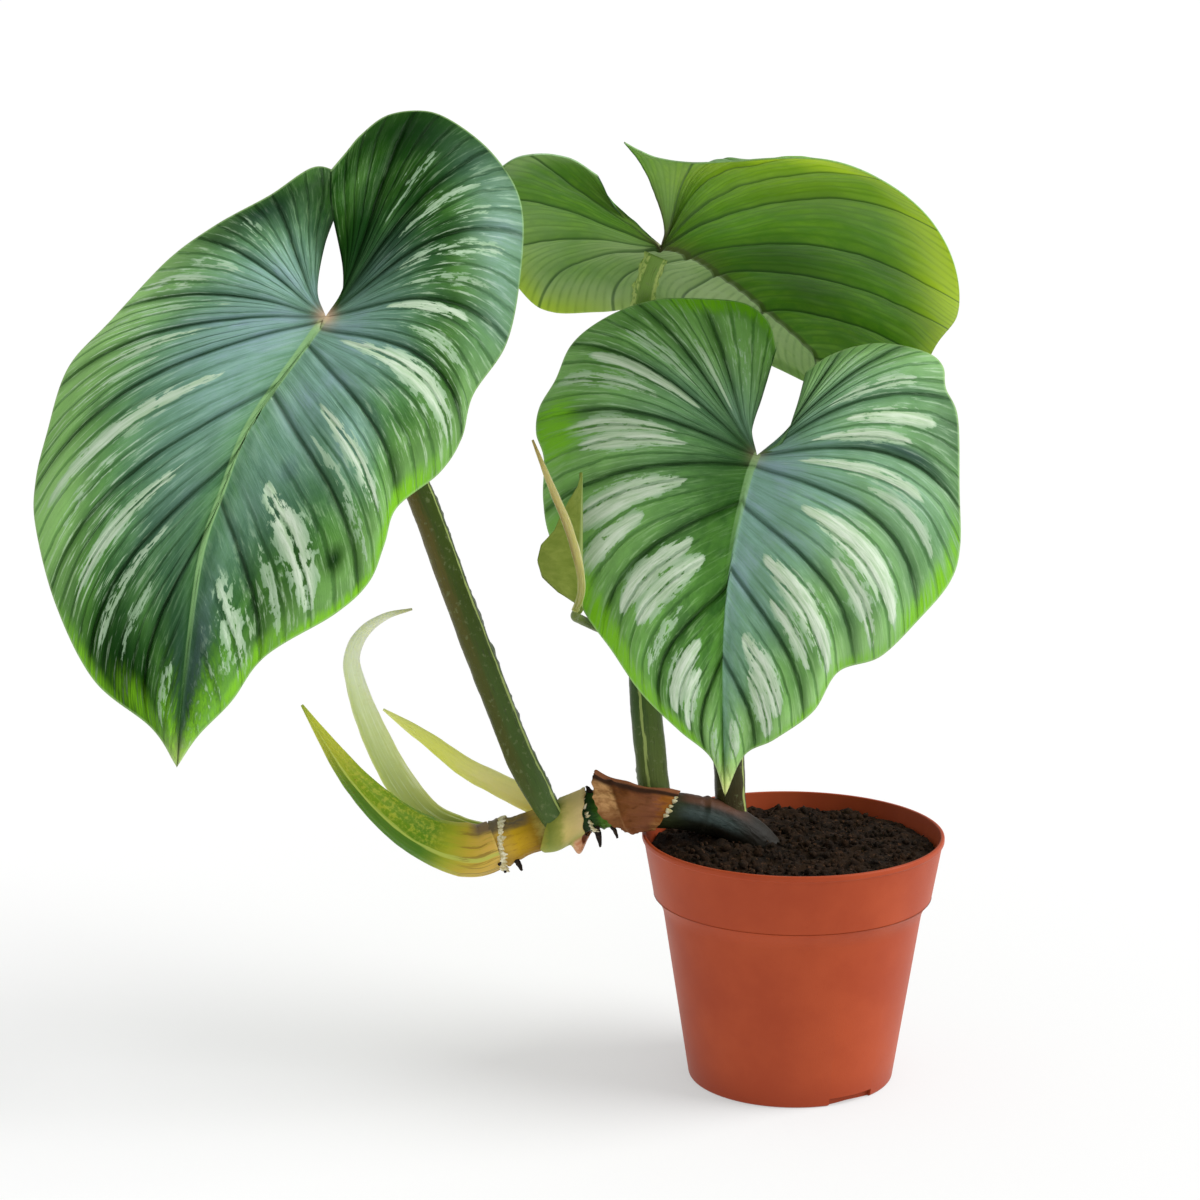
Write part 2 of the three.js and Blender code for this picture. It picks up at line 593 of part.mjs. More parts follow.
function youngLeafGeometry() {
  const { foot, tip, belly, width, opening, thickness } = YOUNG_LEAF;
  const rows = 12;
  const columns = 3;
  const along = vector(tip).sub(vector(foot));
  const left = new THREE.Vector3(-1, 0, 0);
  const front = new THREE.Vector3().crossVectors(along, left).normalize();
  if (front.y > 0) front.negate();
  const sheet = [];
  for (let row = 0; row <= rows; row += 1) {
    const t = row / rows;
    for (let column = -columns; column <= columns; column += 1) {
      const c = column / columns;
      const reach = Math.max(sample(belly, t), 0.04) * width * Math.abs(c);
      const open = Math.tan(degrees(opening)) * reach * Math.sign(c) * (1 - 0.35 * Math.abs(c));
      const curl = 2.5 * Math.sin(Math.PI * t) + 0.6 * Math.sin(9 * t) * Math.abs(c);
      sheet.push(vector(foot).addScaledVector(along, t)
        .addScaledVector(left, reach)
        .addScaledVector(front, open + curl));
    }
  }
  const perRow = 2 * columns + 1;
  const triangles = [];
  for (let row = 0; row < rows; row += 1) {
    for (let column = 0; column < 2 * columns; column += 1) {
      const a = row * perRow + column;
      triangles.push([a, a + 1, a + perRow + 1], [a, a + perRow + 1, a + perRow]);
    }
  }
  return thicken(sheet, triangles, thickness);
}

// Gives a sheet of points an even thickness along its own normals
function thicken(sheet, triangles, thickness) {
  const normals = sheet.map(() => new THREE.Vector3());
  triangles.forEach(([a, b, c]) => {
    const face = new THREE.Vector3().crossVectors(
      sheet[b].clone().sub(sheet[a]),
      sheet[c].clone().sub(sheet[a]),
    );
    [a, b, c].forEach((corner) => normals[corner].add(face));
  });
  normals.forEach((normal) => normal.normalize());
  const offset = (amount) => sheet.map((point, k) => point.clone().addScaledVector(normals[k], amount));
  return thinSolid(offset(thickness / 2), offset(-thickness / 2), triangles);
}

const YOUNG_STALK = {
  points: [[-60.5, 12, 121], [-62, 19.8, 131], [-63.5, 21, 148], [-66, 24.8, 168], [-73, 23, 186],
    [-80, 8, 195.5], [-86, -5, 201.5], [-91, -16, 206.5], [-93.5, -26, 210.5], [-91.8, -31.5, 214.5]],
  radii: [2.6, 2.4, 2.2, 2.1, 2, 2, 2, 2, 1.8],
};

// Leaf sheaths. The green one closes the stem's growing end; the pale one and the yellow one
// stand behind it and behind the left stalk; each is a tapering, slightly flattened horn.

const SHEATHS = {
  sheath_green: {
    points: [[-128.6, -3, 104.2], [-136, -4.5, 102.2], [-151.7, -6, 105.6], [-168.6, -8, 115.6],
      [-187.4, -10, 135], [-200.9, -12, 155.4], [-209, -14, 169]],
    radii: [[10.7, 10.6], [11.8, 10.6], [10, 8.6], [8.5, 7], [7.2, 5.6], [5.8, 4.4], [4.2, 3.2],
      [2.4, 1.8], [0.6, 0.6]],
    keel: 0.14,
  },
  sheath_pale: {
    points: [[-131, 10.5, 106], [-144, 10.5, 107.5], [-157, 9, 113.5], [-169.4, 8, 129.1], [-179.7, 6, 150.6],
      [-186.6, 4, 171], [-188.8, 2, 185.6], [-184.2, 0, 196.6], [-174.2, -2, 204.6], [-162.6, -3, 208.1]],
    radii: [[3.4, 1.6], [5.8, 1.7], [6.6, 1.7], [6.7, 1.7], [6.3, 1.7], [5.8, 1.7], [4.9, 1.6], [3.9, 1.5],
      [3, 1.3], [1.8, 1], [0.5, 0.5]],
    keel: 0,
  },
  sheath_yellow: {
    points: [[-108, 8, 117.5], [-115, 10.5, 121], [-126.3, 12, 126.4], [-141.4, 13, 134.4], [-156.5, 14, 145.8],
      [-169.4, 15, 154.6], [-176.7, 15.5, 159.6]],
    radii: [[5.4, 1.8], [5.4, 1.8], [5, 1.8], [4.6, 1.7], [4, 1.5], [3.2, 1.3], [2.2, 1], [0.5, 0.5]],
    keel: 0,
  },
  sheath_young: {
    points: [[-93.4, -35, 214.5], [-91, -36.5, 222], [-91.3, -37, 232], [-96, -33, 249], [-103.5, -26, 266],
      [-111, -17, 283]],
    radii: [[1.5, 1], [1.8, 1], [2.2, 1], [2.3, 1], [2, 0.9], [1.4, 0.8], [0.5, 0.45]],
    keel: 0,
  },
};

const sheathTube = ({ points, radii, keel }) => tube(points, radii, {
  sides: 10,
  steps: 17,
  bulge: (angle) => 1 + keel * Math.max(0, -Math.sin(angle)) ** 6,
});

// The dry sheath: a papery half-tube round the front of the stem, open and flared at its left end

const DRY_SHEATH = {
  right: [-47, 0.6, 118.2], left: [-86, -2, 122.8], radii: [9.2, 9.4, 10.2, 11.6, 13.6],
  from: -88, to: 84, thickness: 0.7,
};

function drySheathGeometry() {
  const { right, left, radii, from, to, thickness } = DRY_SHEATH;
  const rows = 10;
  const columns = 10;
  const sheet = [];
  for (let row = 0; row <= rows; row += 1) {
    for (let column = 0; column <= columns; column += 1) {
      const c = column / columns;
      const angle = degrees(THREE.MathUtils.lerp(from, to, c));
      // The open end is slanted: long at the top, short underneath, with a torn edge
      const reach = 0.56 + 0.44 * c + 0.025 * Math.sin(11 * c);
      const start = 0.26 * (1 - c);
      const t = THREE.MathUtils.lerp(start, reach, row / rows);
      const centre = vector(right).lerp(vector(left), t);
      const curl = 2.2 * smooth((t - 0.75) / 0.25) * c + 0.35 * Math.sin(14 * t + 5 * c);
      const radius = sample(radii, t) + curl;
      const under = c < 0.4 ? -0.4 * (1 - c / 0.4) * t : 0;
      sheet.push(centre.add(new THREE.Vector3(
        0,
        -Math.cos(angle) * radius,
        Math.sin(angle) * (radius + under),
      )));
    }
  }
  const triangles = [];
  for (let row = 0; row < rows; row += 1) {
    for (let column = 0; column < columns; column += 1) {
      const a = row * (columns + 1) + column;
      triangles.push([a, a + 1, a + columns + 2], [a, a + columns + 2, a + columns + 1]);
    }
  }
  return thicken(sheet, triangles, thickness);
}

// Assembly

const plant = new THREE.Group();

function add(name, geometry, material) {
  const mesh = new THREE.Mesh(geometry, material);
  mesh.name = name;
  plant.add(mesh);
}

const looseStem = stemTube(CLEARANCE);
const stubs = ROOT_STUBS.map((stub) => rootStub(stub));
const scales = SCALE_RINGS.flatMap(scalePoints);
const looseStubs = ROOT_STUBS.map((stub) => rootStub(stub, CLEARANCE));
const round = [looseStem, ...looseStubs];

add('pot', potGeometry(), TERRACOTTA);
add('soil', soilGeometry([looseStem, stalkTube(STALKS.stalk_front, CLEARANCE)]), SOIL);
add('stem', join(stemTube(0), [...stubs, ...scales]), STEM);
Object.entries(STALKS).forEach(([name, stalk]) => {
  add(name, cut(stalkTube(stalk), round), STALK);
});
Object.entries(LEAVES).forEach(([name, leaf]) => {
  add(name, leafGeometry(leaf), name === 'leaf_back' ? BLADE_UNDER : BLADE);
});
add('sheath_green', cut(sheathTube(SHEATHS.sheath_green), round), SHEATH_GREEN);
add('sheath_pale', cut(sheathTube(SHEATHS.sheath_pale), round), SHEATH_PALE);
add('sheath_yellow', cut(sheathTube(SHEATHS.sheath_yellow), round), SHEATH_YELLOW);
add('sheath_dry', drySheathGeometry(), SHEATH_DRY);
add('young_stalk', cut(tube(YOUNG_STALK.points, YOUNG_STALK.radii, { sides: 7, steps: 22 }), [
  looseStem,
  stalkTube(STALKS.stalk_back, CLEARANCE),
]), STALK);
add('young_leaf', youngLeafGeometry(), YOUNG);
add('sheath_young', sheathTube(SHEATHS.sheath_young), SHEATH_PALE);

export default plant;
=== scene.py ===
# %% [markdown]
# # A potted philodendron plowmanii
#
# The plant is a creeping aroid in a round nursery pot. Three heart-shaped leaves with silver
# markings stand on long stalks, and the stem leans out over the rim. The solid model gives
# every piece its place and size. This lesson gives each piece a finer mesh of the same form,
# and a finish made of procedural nodes.

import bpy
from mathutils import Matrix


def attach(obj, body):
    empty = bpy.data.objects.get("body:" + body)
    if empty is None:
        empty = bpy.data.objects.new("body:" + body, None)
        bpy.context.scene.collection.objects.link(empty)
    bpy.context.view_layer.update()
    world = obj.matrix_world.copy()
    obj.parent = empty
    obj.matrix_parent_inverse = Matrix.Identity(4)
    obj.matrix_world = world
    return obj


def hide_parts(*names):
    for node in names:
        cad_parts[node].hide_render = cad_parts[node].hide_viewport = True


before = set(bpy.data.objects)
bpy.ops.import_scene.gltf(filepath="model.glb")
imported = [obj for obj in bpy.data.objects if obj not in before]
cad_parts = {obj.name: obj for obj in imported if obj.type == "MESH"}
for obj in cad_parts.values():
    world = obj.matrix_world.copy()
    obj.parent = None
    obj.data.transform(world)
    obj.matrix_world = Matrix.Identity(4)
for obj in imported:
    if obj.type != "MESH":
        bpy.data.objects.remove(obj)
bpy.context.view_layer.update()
print("the solid model has", len(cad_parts), "nodes")

# %% Other modules
import math

import bmesh
import bpy
import numpy as np
from mathutils import Matrix, Vector, noise

# %% [markdown]
# ## Camera
#
# The photograph looks slightly down at the pot. A long lens keeps the pot's sides almost
# parallel, as they are there. The lens and the tilt come from the ellipses of the pot's rim
# and base.

# %% Place the camera
LENS_MM = 100
SENSOR_MM = 36
LOOK_DOWN_DEGREES = 12.6
CAMERA_PLACE_M = (-0.0831, -1.3785, 0.5195)

camera_data = bpy.data.cameras.new("camera")
camera_data.lens = LENS_MM
camera_data.sensor_width = SENSOR_MM
camera = bpy.data.objects.new("camera", camera_data)
camera.location = CAMERA_PLACE_M
camera.rotation_euler = (math.radians(90 - LOOK_DOWN_DEGREES), 0, 0)
bpy.context.scene.collection.objects.link(camera)
bpy.context.scene.camera = camera
print("camera at", CAMERA_PLACE_M)

# %% [markdown]
# ## Floor and light
#
# The plant stands on a white ground that shows no horizon. A distant light with a wide angle
# lights the floor evenly, however far it runs, and throws the soft shadow on the left of the
# pot. The floor glows faintly, so the shadow stays pale. The world looks white to the camera
# but lights the plant more weakly, which keeps the colours deep in front of the white ground.

# %% Floor, world and light
FLOOR_SIZE_M = 60
FLOOR_WHITE = 0.6
FLOOR_GLOW = 0.4
WHITE = 1.0
ROOM_LIGHT = 0.52
KEY_STRENGTH = 2.5
KEY_ANGLE_DEGREES = 44
KEY_FROM = (0.78, -0.08, 0.64)

bpy.context.scene.view_settings.view_transform = "Standard"
world = bpy.data.worlds.new("white room")
world.use_nodes = True
world_nodes = world.node_tree.nodes
room = world_nodes["Background"]
room.inputs["Strength"].default_value = ROOM_LIGHT
backdrop = world_nodes.new("ShaderNodeBackground")
backdrop.inputs["Strength"].default_value = WHITE
for light in (room, backdrop):
    light.inputs["Color"].default_value = (1, 1, 1, 1)
seen = world_nodes.new("ShaderNodeLightPath")
either = world_nodes.new("ShaderNodeMixShader")
world.node_tree.links.new(seen.outputs["Is Camera Ray"], either.inputs[0])
world.node_tree.links.new(room.outputs[0], either.inputs[1])
world.node_tree.links.new(backdrop.outputs[0], either.inputs[2])
world.node_tree.links.new(either.outputs[0], world_nodes["World Output"].inputs["Surface"])
bpy.context.scene.world = world

bpy.ops.mesh.primitive_plane_add(size=FLOOR_SIZE_M)
floor = bpy.context.active_object
floor.name = "floor"
floor_finish = bpy.data.materials.new("white floor")
floor_finish.use_nodes = True
floor_shader = floor_finish.node_tree.nodes["Principled BSDF"]
floor_shader.inputs["Base Color"].default_value = (FLOOR_WHITE, FLOOR_WHITE, FLOOR_WHITE, 1)
floor_shader.inputs["Emission Color"].default_value = (1, 1, 1, 1)
floor_shader.inputs["Emission Strength"].default_value = FLOOR_GLOW
floor_shader.inputs["Roughness"].default_value = 1.0
floor_shader.inputs["Specular IOR Level"].default_value = 0.0
floor.data.materials.append(floor_finish)

key_light = bpy.data.lights.new("key light", "SUN")
key_light.energy = KEY_STRENGTH
key_light.angle = math.radians(KEY_ANGLE_DEGREES)
key = bpy.data.objects.new("key light", key_light)
key.rotation_euler = Vector(KEY_FROM).to_track_quat("Z", "Y").to_euler()
bpy.context.scene.collection.objects.link(key)
print("floor, white world and one soft key light")

# %% [markdown]
# ## Working in millimetres
#
# The plant's sizes are easier to read in millimetres, so the meshes are worked out in
# millimetres and scaled once, when a mesh is made. Each mesh is built from an array of
# points and a list of faces, because every piece here is a bent sheet or a bent tube.

# %% Make a piece from points and faces
MM = 0.001


def smooth(t):
    """An even step from 0 to 1."""
    t = np.clip(t, 0, 1)
    return t * t * (3 - 2 * t)


def spread(values, t):
    """Values spaced evenly over t from 0 to 1, read in between."""
    return np.interp(t, np.linspace(0, 1, len(values)), values)


def hump(distance, width):
    """1 at no distance, fading to 0 a few widths away."""
    return np.exp(-((distance / width) ** 2))


def lumps(points, size, seed):
    """Smooth unevenness between -1 and 1 for each point; size is in millimetres."""
    shift = Vector((seed * 17.3, seed * 5.1, seed * 9.7))
    flat = np.asarray(points, float).reshape(-1, 3)
    values = [noise.noise(Vector(point) / size + shift) for point in flat]
    return np.array(values).reshape(np.shape(points)[:-1])


def new_piece(name, points, faces, finishes, finish_of_face=None):
    """A mesh object from millimetre points, riding on the plant's only body."""
    mesh = bpy.data.meshes.new(name)
    mesh.from_pydata((np.asarray(points) * MM).tolist(), [], faces)
    for finish in finishes:
        mesh.materials.append(finish)
    mesh.polygons.foreach_set("use_smooth", [True] * len(mesh.polygons))
    if finish_of_face is not None:
        mesh.polygons.foreach_set("material_index", finish_of_face)
    mesh.update()
    piece = bpy.data.objects.new(name, mesh)
    bpy.context.scene.collection.objects.link(piece)
    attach(piece, "root")
    return piece


def mark(piece, rest=0, **fields):
    """Stores a number for each point, which the finish reads by name; points left over get rest."""
    for name, values in fields.items():
        numbers = np.full(len(piece.data.vertices), rest, np.float32)
        numbers[:np.size(values)] = np.ravel(values)
        piece.data.attributes.new(name, "FLOAT", "POINT").data.foreach_set("value", numbers)


def standing_for(piece, node):
    """The piece stands for one node of the solid model, whose own mesh is hidden."""
    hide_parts(node)
    print(piece.name, "has", len(piece.data.polygons), "faces and stands for", node)


# %% [markdown]
# ## Tubes
#
# Stem, stalks, sheaths and roots are bent tubes. Each follows a smooth curve through a few
# points. The section is turned so that its first axis lies across the view and its second
# axis points to the back. Three numbers for each point, its place along the tube and how far
# to the left and the back it lies, let the finish follow the growth.

# %% A smooth curve, and a tube along it
CURVE_PIECES = 40


def curve_through(points, count):
    """Evenly spaced points on a smooth curve through the given ones, with its directions."""
    points = [np.array(point, float) for point in points]
    points = [2 * points[0] - points[1], *points, 2 * points[-1] - points[-2]]
    fine = []
    for p0, p1, p2, p3 in zip(points, points[1:], points[2:], points[3:]):
        gaps = [math.sqrt(np.linalg.norm(b - a)) for a, b in ((p0, p1), (p1, p2), (p2, p3))]
        k0, k1, k2, k3 = np.cumsum([0, *gaps])
        t = np.linspace(k1, k2, CURVE_PIECES, endpoint=False)[:, None]
        a1 = ((k1 - t) * p0 + (t - k0) * p1) / (k1 - k0)
        a2 = ((k2 - t) * p1 + (t - k1) * p2) / (k2 - k1)
        a3 = ((k3 - t) * p2 + (t - k2) * p3) / (k3 - k2)
        b1 = ((k2 - t) * a1 + (t - k0) * a2) / (k2 - k0)
        b2 = ((k3 - t) * a2 + (t - k1) * a3) / (k3 - k1)
        fine.append(((k2 - t) * b1 + (t - k1) * b2) / (k2 - k1))
    fine = np.vstack([*fine, points[-2][None]])
    lengths = np.concatenate([[0], np.cumsum(np.linalg.norm(np.diff(fine, axis=0), axis=1))])
    wanted = np.linspace(0, lengths[-1], count)
    line = np.stack([np.interp(wanted, lengths, fine[:, axis]) for axis in range(3)], axis=-1)
    along = np.gradient(line, axis=0)
    return line, along / np.linalg.norm(along, axis=1, keepdims=True)


def tube_points(points, radii, sides, steps, shape=None):
    """Rings of points round a curve. shape(angle, t) scales the radii."""
    line, along = curve_through(points, steps + 1)
    side = np.cross(along, (0, 1, 0))
    side /= np.linalg.norm(side, axis=1, keepdims=True)
    depth = np.cross(side, along)
    t = np.linspace(0, 1, steps + 1)[:, None]
    angle = np.linspace(0, 2 * math.pi, sides, endpoint=False)[None]
    pairs = [radius if isinstance(radius, tuple) else (radius, radius) for radius in radii]
    across = spread([pair[0] for pair in pairs], t)
    deep = spread([pair[1] for pair in pairs], t)
    scale = shape(angle, t) if shape else 1
    rings = (
        line[:, None]
        + side[:, None] * (np.cos(angle) * (across * scale))[..., None]
        + depth[:, None] * (np.sin(angle) * (deep * scale))[..., None]
    )
    return rings, angle + 0 * t, t + 0 * angle


def tube_faces(sides, steps, first=0):
    """Faces of a closed tube; its two end points follow the rings."""
    faces = []
    last = first + steps * sides
    ends = last + sides
    for k in range(sides):
        after = (k + 1) % sides
        for step in range(steps):
            a = first + step * sides + k
            b = first + step * sides + after
            faces.append((a, a + sides, b + sides, b))
        faces.append((ends, first + k, first + after))
        faces.append((ends + 1, last + after, last + k))
    return faces


def add_tube(parts, faces, path, radii, sides, steps, relief=None):
    """Adds a closed tube to a mesh that is kept as arrays of points and a list of faces."""
    rings, _, _ = tube_points(path, radii, sides, steps)
    if relief:
        rings = rings + relief(rings)
    faces += tube_faces(sides, steps, sum(len(part) for part in parts))
    parts += [rings.reshape(-1, 3), np.array([path[0], path[-1]], float)]


def raised_tube(path, radii, sides, steps, shape=None, relief=None):
    """A closed tube's points, moved out by relief(rings, angle, t), with their angle and t."""
    rings, angle, t = tube_points(path, radii, sides, steps, shape)
    middle = rings.mean(axis=1, keepdims=True)
    if relief:
        outward = rings - middle
        outward /= np.maximum(np.linalg.norm(outward, axis=-1, keepdims=True), 1e-6)
        rings = rings + outward * relief(rings, angle, t)[..., None]
    return [rings.reshape(-1, 3), middle[0], middle[-1]], angle, t


def new_tube(name, path, radii, finish, sides, steps, shape=None, relief=None):
    """A closed tube piece that keeps each point's place along it and around it."""
    parts, angle, t = raised_tube(path, radii, sides, steps, shape, relief)
    piece = new_piece(name, np.vstack(parts), tube_faces(sides, steps), [finish])
    mark(piece, along=[*t.ravel(), 0, 1], left=np.cos(angle), back=np.sin(angle))
    return piece


# %% [markdown]
# ## Sheets
#
# Leaf blades, the clasping leaf base and the dry sheath are thin sheets. A sheet is given as an
# upper and a lower layer of points that share their faces, and the open edges are joined by a
# narrow rim, so that the piece is closed like a real leaf.

# %% Close two layers into one thin piece
def closed_sheet(faces, count):
    """Faces of both layers and of the rim; the second layer's points start at count."""
    lower = [tuple(corner + count for corner in reversed(face)) for face in faces]
    open_edges = {}
    for face in faces:
        for a, b in zip(face, face[1:] + face[:1]):
            if (b, a) in open_edges:
                del open_edges[(b, a)]
            else:
                open_edges[(a, b)] = True
    rim = [(b, a, a + count, b + count) for a, b in open_edges]
    return faces + lower + rim


def sheet_normals(grid):
    """Directions square to a grid of points."""
    normals = np.cross(np.gradient(grid, axis=0), np.gradient(grid, axis=1))
    return normals / np.maximum(np.linalg.norm(normals, axis=-1, keepdims=True), 1e-9)


def grid_faces(rows, columns):
    """Four-sided faces of a grid with rows + 1 by columns + 1 points."""
    return [
        (a, a + columns + 1, a + columns + 2, a + 1)
        for row in range(rows)
        for a in range(row * (columns + 1), row * (columns + 1) + columns)
    ]


def even_grid(rows, columns, first=0):
    """Numbers from 0 to 1 along the rows, and from first to 1 across them."""
    return np.meshgrid(np.linspace(0, 1, rows + 1), np.linspace(first, 1, columns + 1), indexing="ij")


def thick_sheet(grid, thickness):
    """Points and faces of a closed sheet of even thickness on a grid of points."""
    offset = sheet_normals(grid) * thickness / 2
    points = np.vstack([(grid + side * offset).reshape(-1, 3) for side in (1, -1)])
    rows, columns = grid.shape[0] - 1, grid.shape[1] - 1
    return points, closed_sheet(grid_faces(rows, columns), len(points) // 2)


# %% [markdown]
# ## Writing finishes
#
# A finish is a tree of shader nodes. Writing each node by hand takes many lines, so a small
# class adds nodes and links them. Effects that several finishes share are node groups, built
# once: fibres that run along the growth, and fine mottling.

# %% A short way to write node trees
def linear(red, green, blue):
    """An sRGB colour, 0 to 255, as the linear numbers that shaders use."""
    channels = [value / 255 for value in (red, green, blue)]
    return tuple(c / 12.92 if c < 0.04045 else ((c + 0.055) / 1.055) ** 2.4 for c in channels) + (1,)


class Tree:
    """Adds and links nodes in one node tree."""

    def __init__(self, tree):
        self.tree = tree

    def put(self, target, value):
        if isinstance(value, bpy.types.NodeSocket):
            self.tree.links.new(value, target)
        else:
            target.default_value = value

    def node(self, kind, inputs=None, **settings):
        made = self.tree.nodes.new(kind)
        for name, value in settings.items():
            setattr(made, name, value)
        for name, value in (inputs or {}).items():
            self.put(made.inputs[name], value)
        return made

    def field(self, name):
        return self.node("ShaderNodeAttribute", attribute_name=name).outputs["Fac"]

    def math(self, operation, a, b=0.0):
        return self.node("ShaderNodeMath", {0: a, 1: b}, operation=operation).outputs[0]

    def plus(self, a, b):
        return self.math("ADD", a, b)

    def minus(self, a, b):
        return self.math("SUBTRACT", a, b)

    def times(self, a, b):
        return self.math("MULTIPLY", a, b)

    def stray(self, value, fibre, amount):
        """The value, moved up and down by an uneven mask."""
        return self.plus(value, self.times(self.minus(fibre, 0.5), amount))

    def step(self, value, low, high, start=0.0, end=1.0):
        """A smooth step of value from low to high."""
        inputs = {"Value": value, "From Min": low, "From Max": high, "To Min": start, "To Max": end}
        return self.node("ShaderNodeMapRange", inputs, interpolation_type="SMOOTHSTEP").outputs[0]

    def mix(self, share, a, b, blend="MIX"):
        made = self.node("ShaderNodeMix", data_type="RGBA", blend_type=blend)
        self.put(made.inputs[0], share)
        self.put(made.inputs[6], a)
        self.put(made.inputs[7], b)
        return made.outputs[2]

    def vector(self, x, y, z=0.0):
        return self.node("ShaderNodeCombineXYZ", {"X": x, "Y": y, "Z": z}).outputs[0]

    def noise(self, place, scale, detail, rough=0.5, twist=0.0):
        inputs = {"Vector": place, "Scale": scale, "Detail": detail, "Roughness": rough}
        return self.node("ShaderNodeTexNoise", {**inputs, "Distortion": twist}).outputs["Fac"]

    def ramp(self, value, stops):
        made = self.node("ShaderNodeValToRGB", {"Fac": value})
        elements = made.color_ramp.elements
        while len(elements) < len(stops):
            elements.new(0.5)
        for element, (place, colour) in zip(elements, stops):
            element.position = place
            element.color = colour
        return made.outputs["Color"]

    def group(self, shared, **inputs):
        made = self.node("ShaderNodeGroup", node_tree=shared)
        for name, value in inputs.items():
            self.put(made.inputs[name.replace("_", " ")], value)
        return made.outputs[0]


def new_finish(name, roughness, specular=0.2, **more):
    """A material with one Principled shader, whose plain numbers are set on its sockets."""
    finish = bpy.data.materials.new(name)
    finish.use_nodes = True
    shader = finish.node_tree.nodes["Principled BSDF"]
    plain = {"Roughness": roughness, "Specular IOR Level": specular, **more}
    for socket, value in plain.items():
        shader.inputs[socket.replace("_", " ")].default_value = value
    return Tree(finish.node_tree), shader, finish


def new_group(name, inputs):
    """A shared node group that turns numbers into a mask."""
    shared = bpy.data.node_groups.new(name, "ShaderNodeTree")
    for direction, sockets in (("INPUT", inputs), ("OUTPUT", ("Mask",))):
        for socket in sockets:
            shared.interface.new_socket(socket, in_out=direction, socket_type="NodeSocketFloat")
    tree = Tree(shared)
    return shared, tree, tree.node("NodeGroupInput").outputs, tree.node("NodeGroupOutput").inputs


def set_skin(tree, shader, colour, height, distance_mm):
    """Gives a finish its colour, and fine relief that is too small for the mesh."""
    tree.put(shader.inputs["Base Color"], colour)
    bump = tree.node("ShaderNodeBump", {"Height": height, "Distance": distance_mm * MM})
    tree.put(shader.inputs["Normal"], bump.outputs["Normal"])


# %% Shared effects
fibres, tree, given, result = new_group("fibres along the growth", ("Across", "Along", "Seed"))
spot = tree.vector(given["Across"], given["Along"], given["Seed"])
tree.put(result["Mask"], tree.noise(spot, 1.0, 5.0, 0.62, 0.3))

mottle, tree, given, result = new_group("mottling", ("Grain per metre", "Low", "High"))
place = tree.node("ShaderNodeTexCoord").outputs["Object"]
speck = tree.noise(place, given["Grain per metre"], 4.0, 0.6)
tree.put(result["Mask"], tree.step(speck, given["Low"], given["High"]))


def growth(tree, across, along, seed):
    """Fibres; across and along are each a coordinate and the number of fibres to its unit."""
    return tree.group(fibres, Across=tree.times(*across), Along=tree.times(*along), Seed=seed)


def mottling(tree, grain, low, high):
    """Fine spots; grain is their number to a metre, and low and high are the mask's limits."""
    return tree.group(mottle, Grain_per_metre=grain, Low=low, High=high)


print("shared effects:", fibres.name, "and", mottle.name)

# %% [markdown]
# ## The pot
#
# The pot is one moulded shell. A profile turned round the middle gives it, with soft corners
# as a mould leaves them. The two notches in the foot ring and the drain holes are cut with a
# boolean, as in the solid.

# %% Turn the pot's profile
RIM_RADIUS = 65
POT_HEIGHT = 109
BAND_BOTTOM = 82
BAND_RADIUS = 59.9
SHOULDER_HEIGHT = 76.5
SHOULDER_RADIUS = 56
BASE_RADIUS = 44.5
WALL = 1.6
CHANNEL_INNER = 30
CHANNEL_OUTER = 41
CHANNEL_HEIGHT = 2.2
POT_FLOOR = 4.6
FOOT_NOTCH_WIDTH = 22
FOOT_NOTCH_HEIGHT = 3.6
FOOT_NOTCH_AZIMUTHS = (33, 213)
DRAIN_HOLE_RADIUS = 3.5
DRAIN_HOLE_CIRCLE = 35
DRAIN_HOLE_COUNT = 8
POT_SEGMENTS = 180
CORNER_PIECES = 4
SHARP_DEGREES = 40

# Radius, height and corner softness, from the middle of the underside round to the inside
POT_PROFILE = [
    (0, 0, 0), (CHANNEL_INNER, 0, 0.5), (CHANNEL_INNER + 1, CHANNEL_HEIGHT, 0.5),
    (CHANNEL_OUTER - 1, CHANNEL_HEIGHT, 0.5), (CHANNEL_OUTER, 0, 0.5),
    (BASE_RADIUS - 0.2, 0, 1.4), (SHOULDER_RADIUS, SHOULDER_HEIGHT, 3),
    (BAND_RADIUS - 0.9, BAND_BOTTOM - 0.6, 1.2), (BAND_RADIUS, BAND_BOTTOM, 0.8),
    (RIM_RADIUS - 0.8, POT_HEIGHT - 2.7, 0.5), (RIM_RADIUS, POT_HEIGHT - 2.3, 0.4),
    (RIM_RADIUS, POT_HEIGHT, 0.9), (RIM_RADIUS - WALL, POT_HEIGHT, 0.5),
    (BAND_RADIUS - WALL, BAND_BOTTOM, 3), (SHOULDER_RADIUS - WALL, SHOULDER_HEIGHT, 3),
    (BASE_RADIUS - WALL, POT_FLOOR, 1.5), (0, POT_FLOOR, 0),
]


def soft_corners(profile):
    """Rounds each corner of a profile over its own softness."""
    corners = [np.array(point[:2], float) for point in profile]
    line = [corners[0]]
    for before, corner, after, (_, _, soft) in zip(corners, corners[1:], corners[2:], profile[1:]):
        start = corner + (before - corner) * soft / np.linalg.norm(before - corner)
        end = corner + (after - corner) * soft / np.linalg.norm(after - corner)
        for t in np.linspace(0, 1, CORNER_PIECES + 1):
            line.append((1 - t) ** 2 * start + 2 * t * (1 - t) * corner + t * t * end)
    return np.array([*line, corners[-1]])


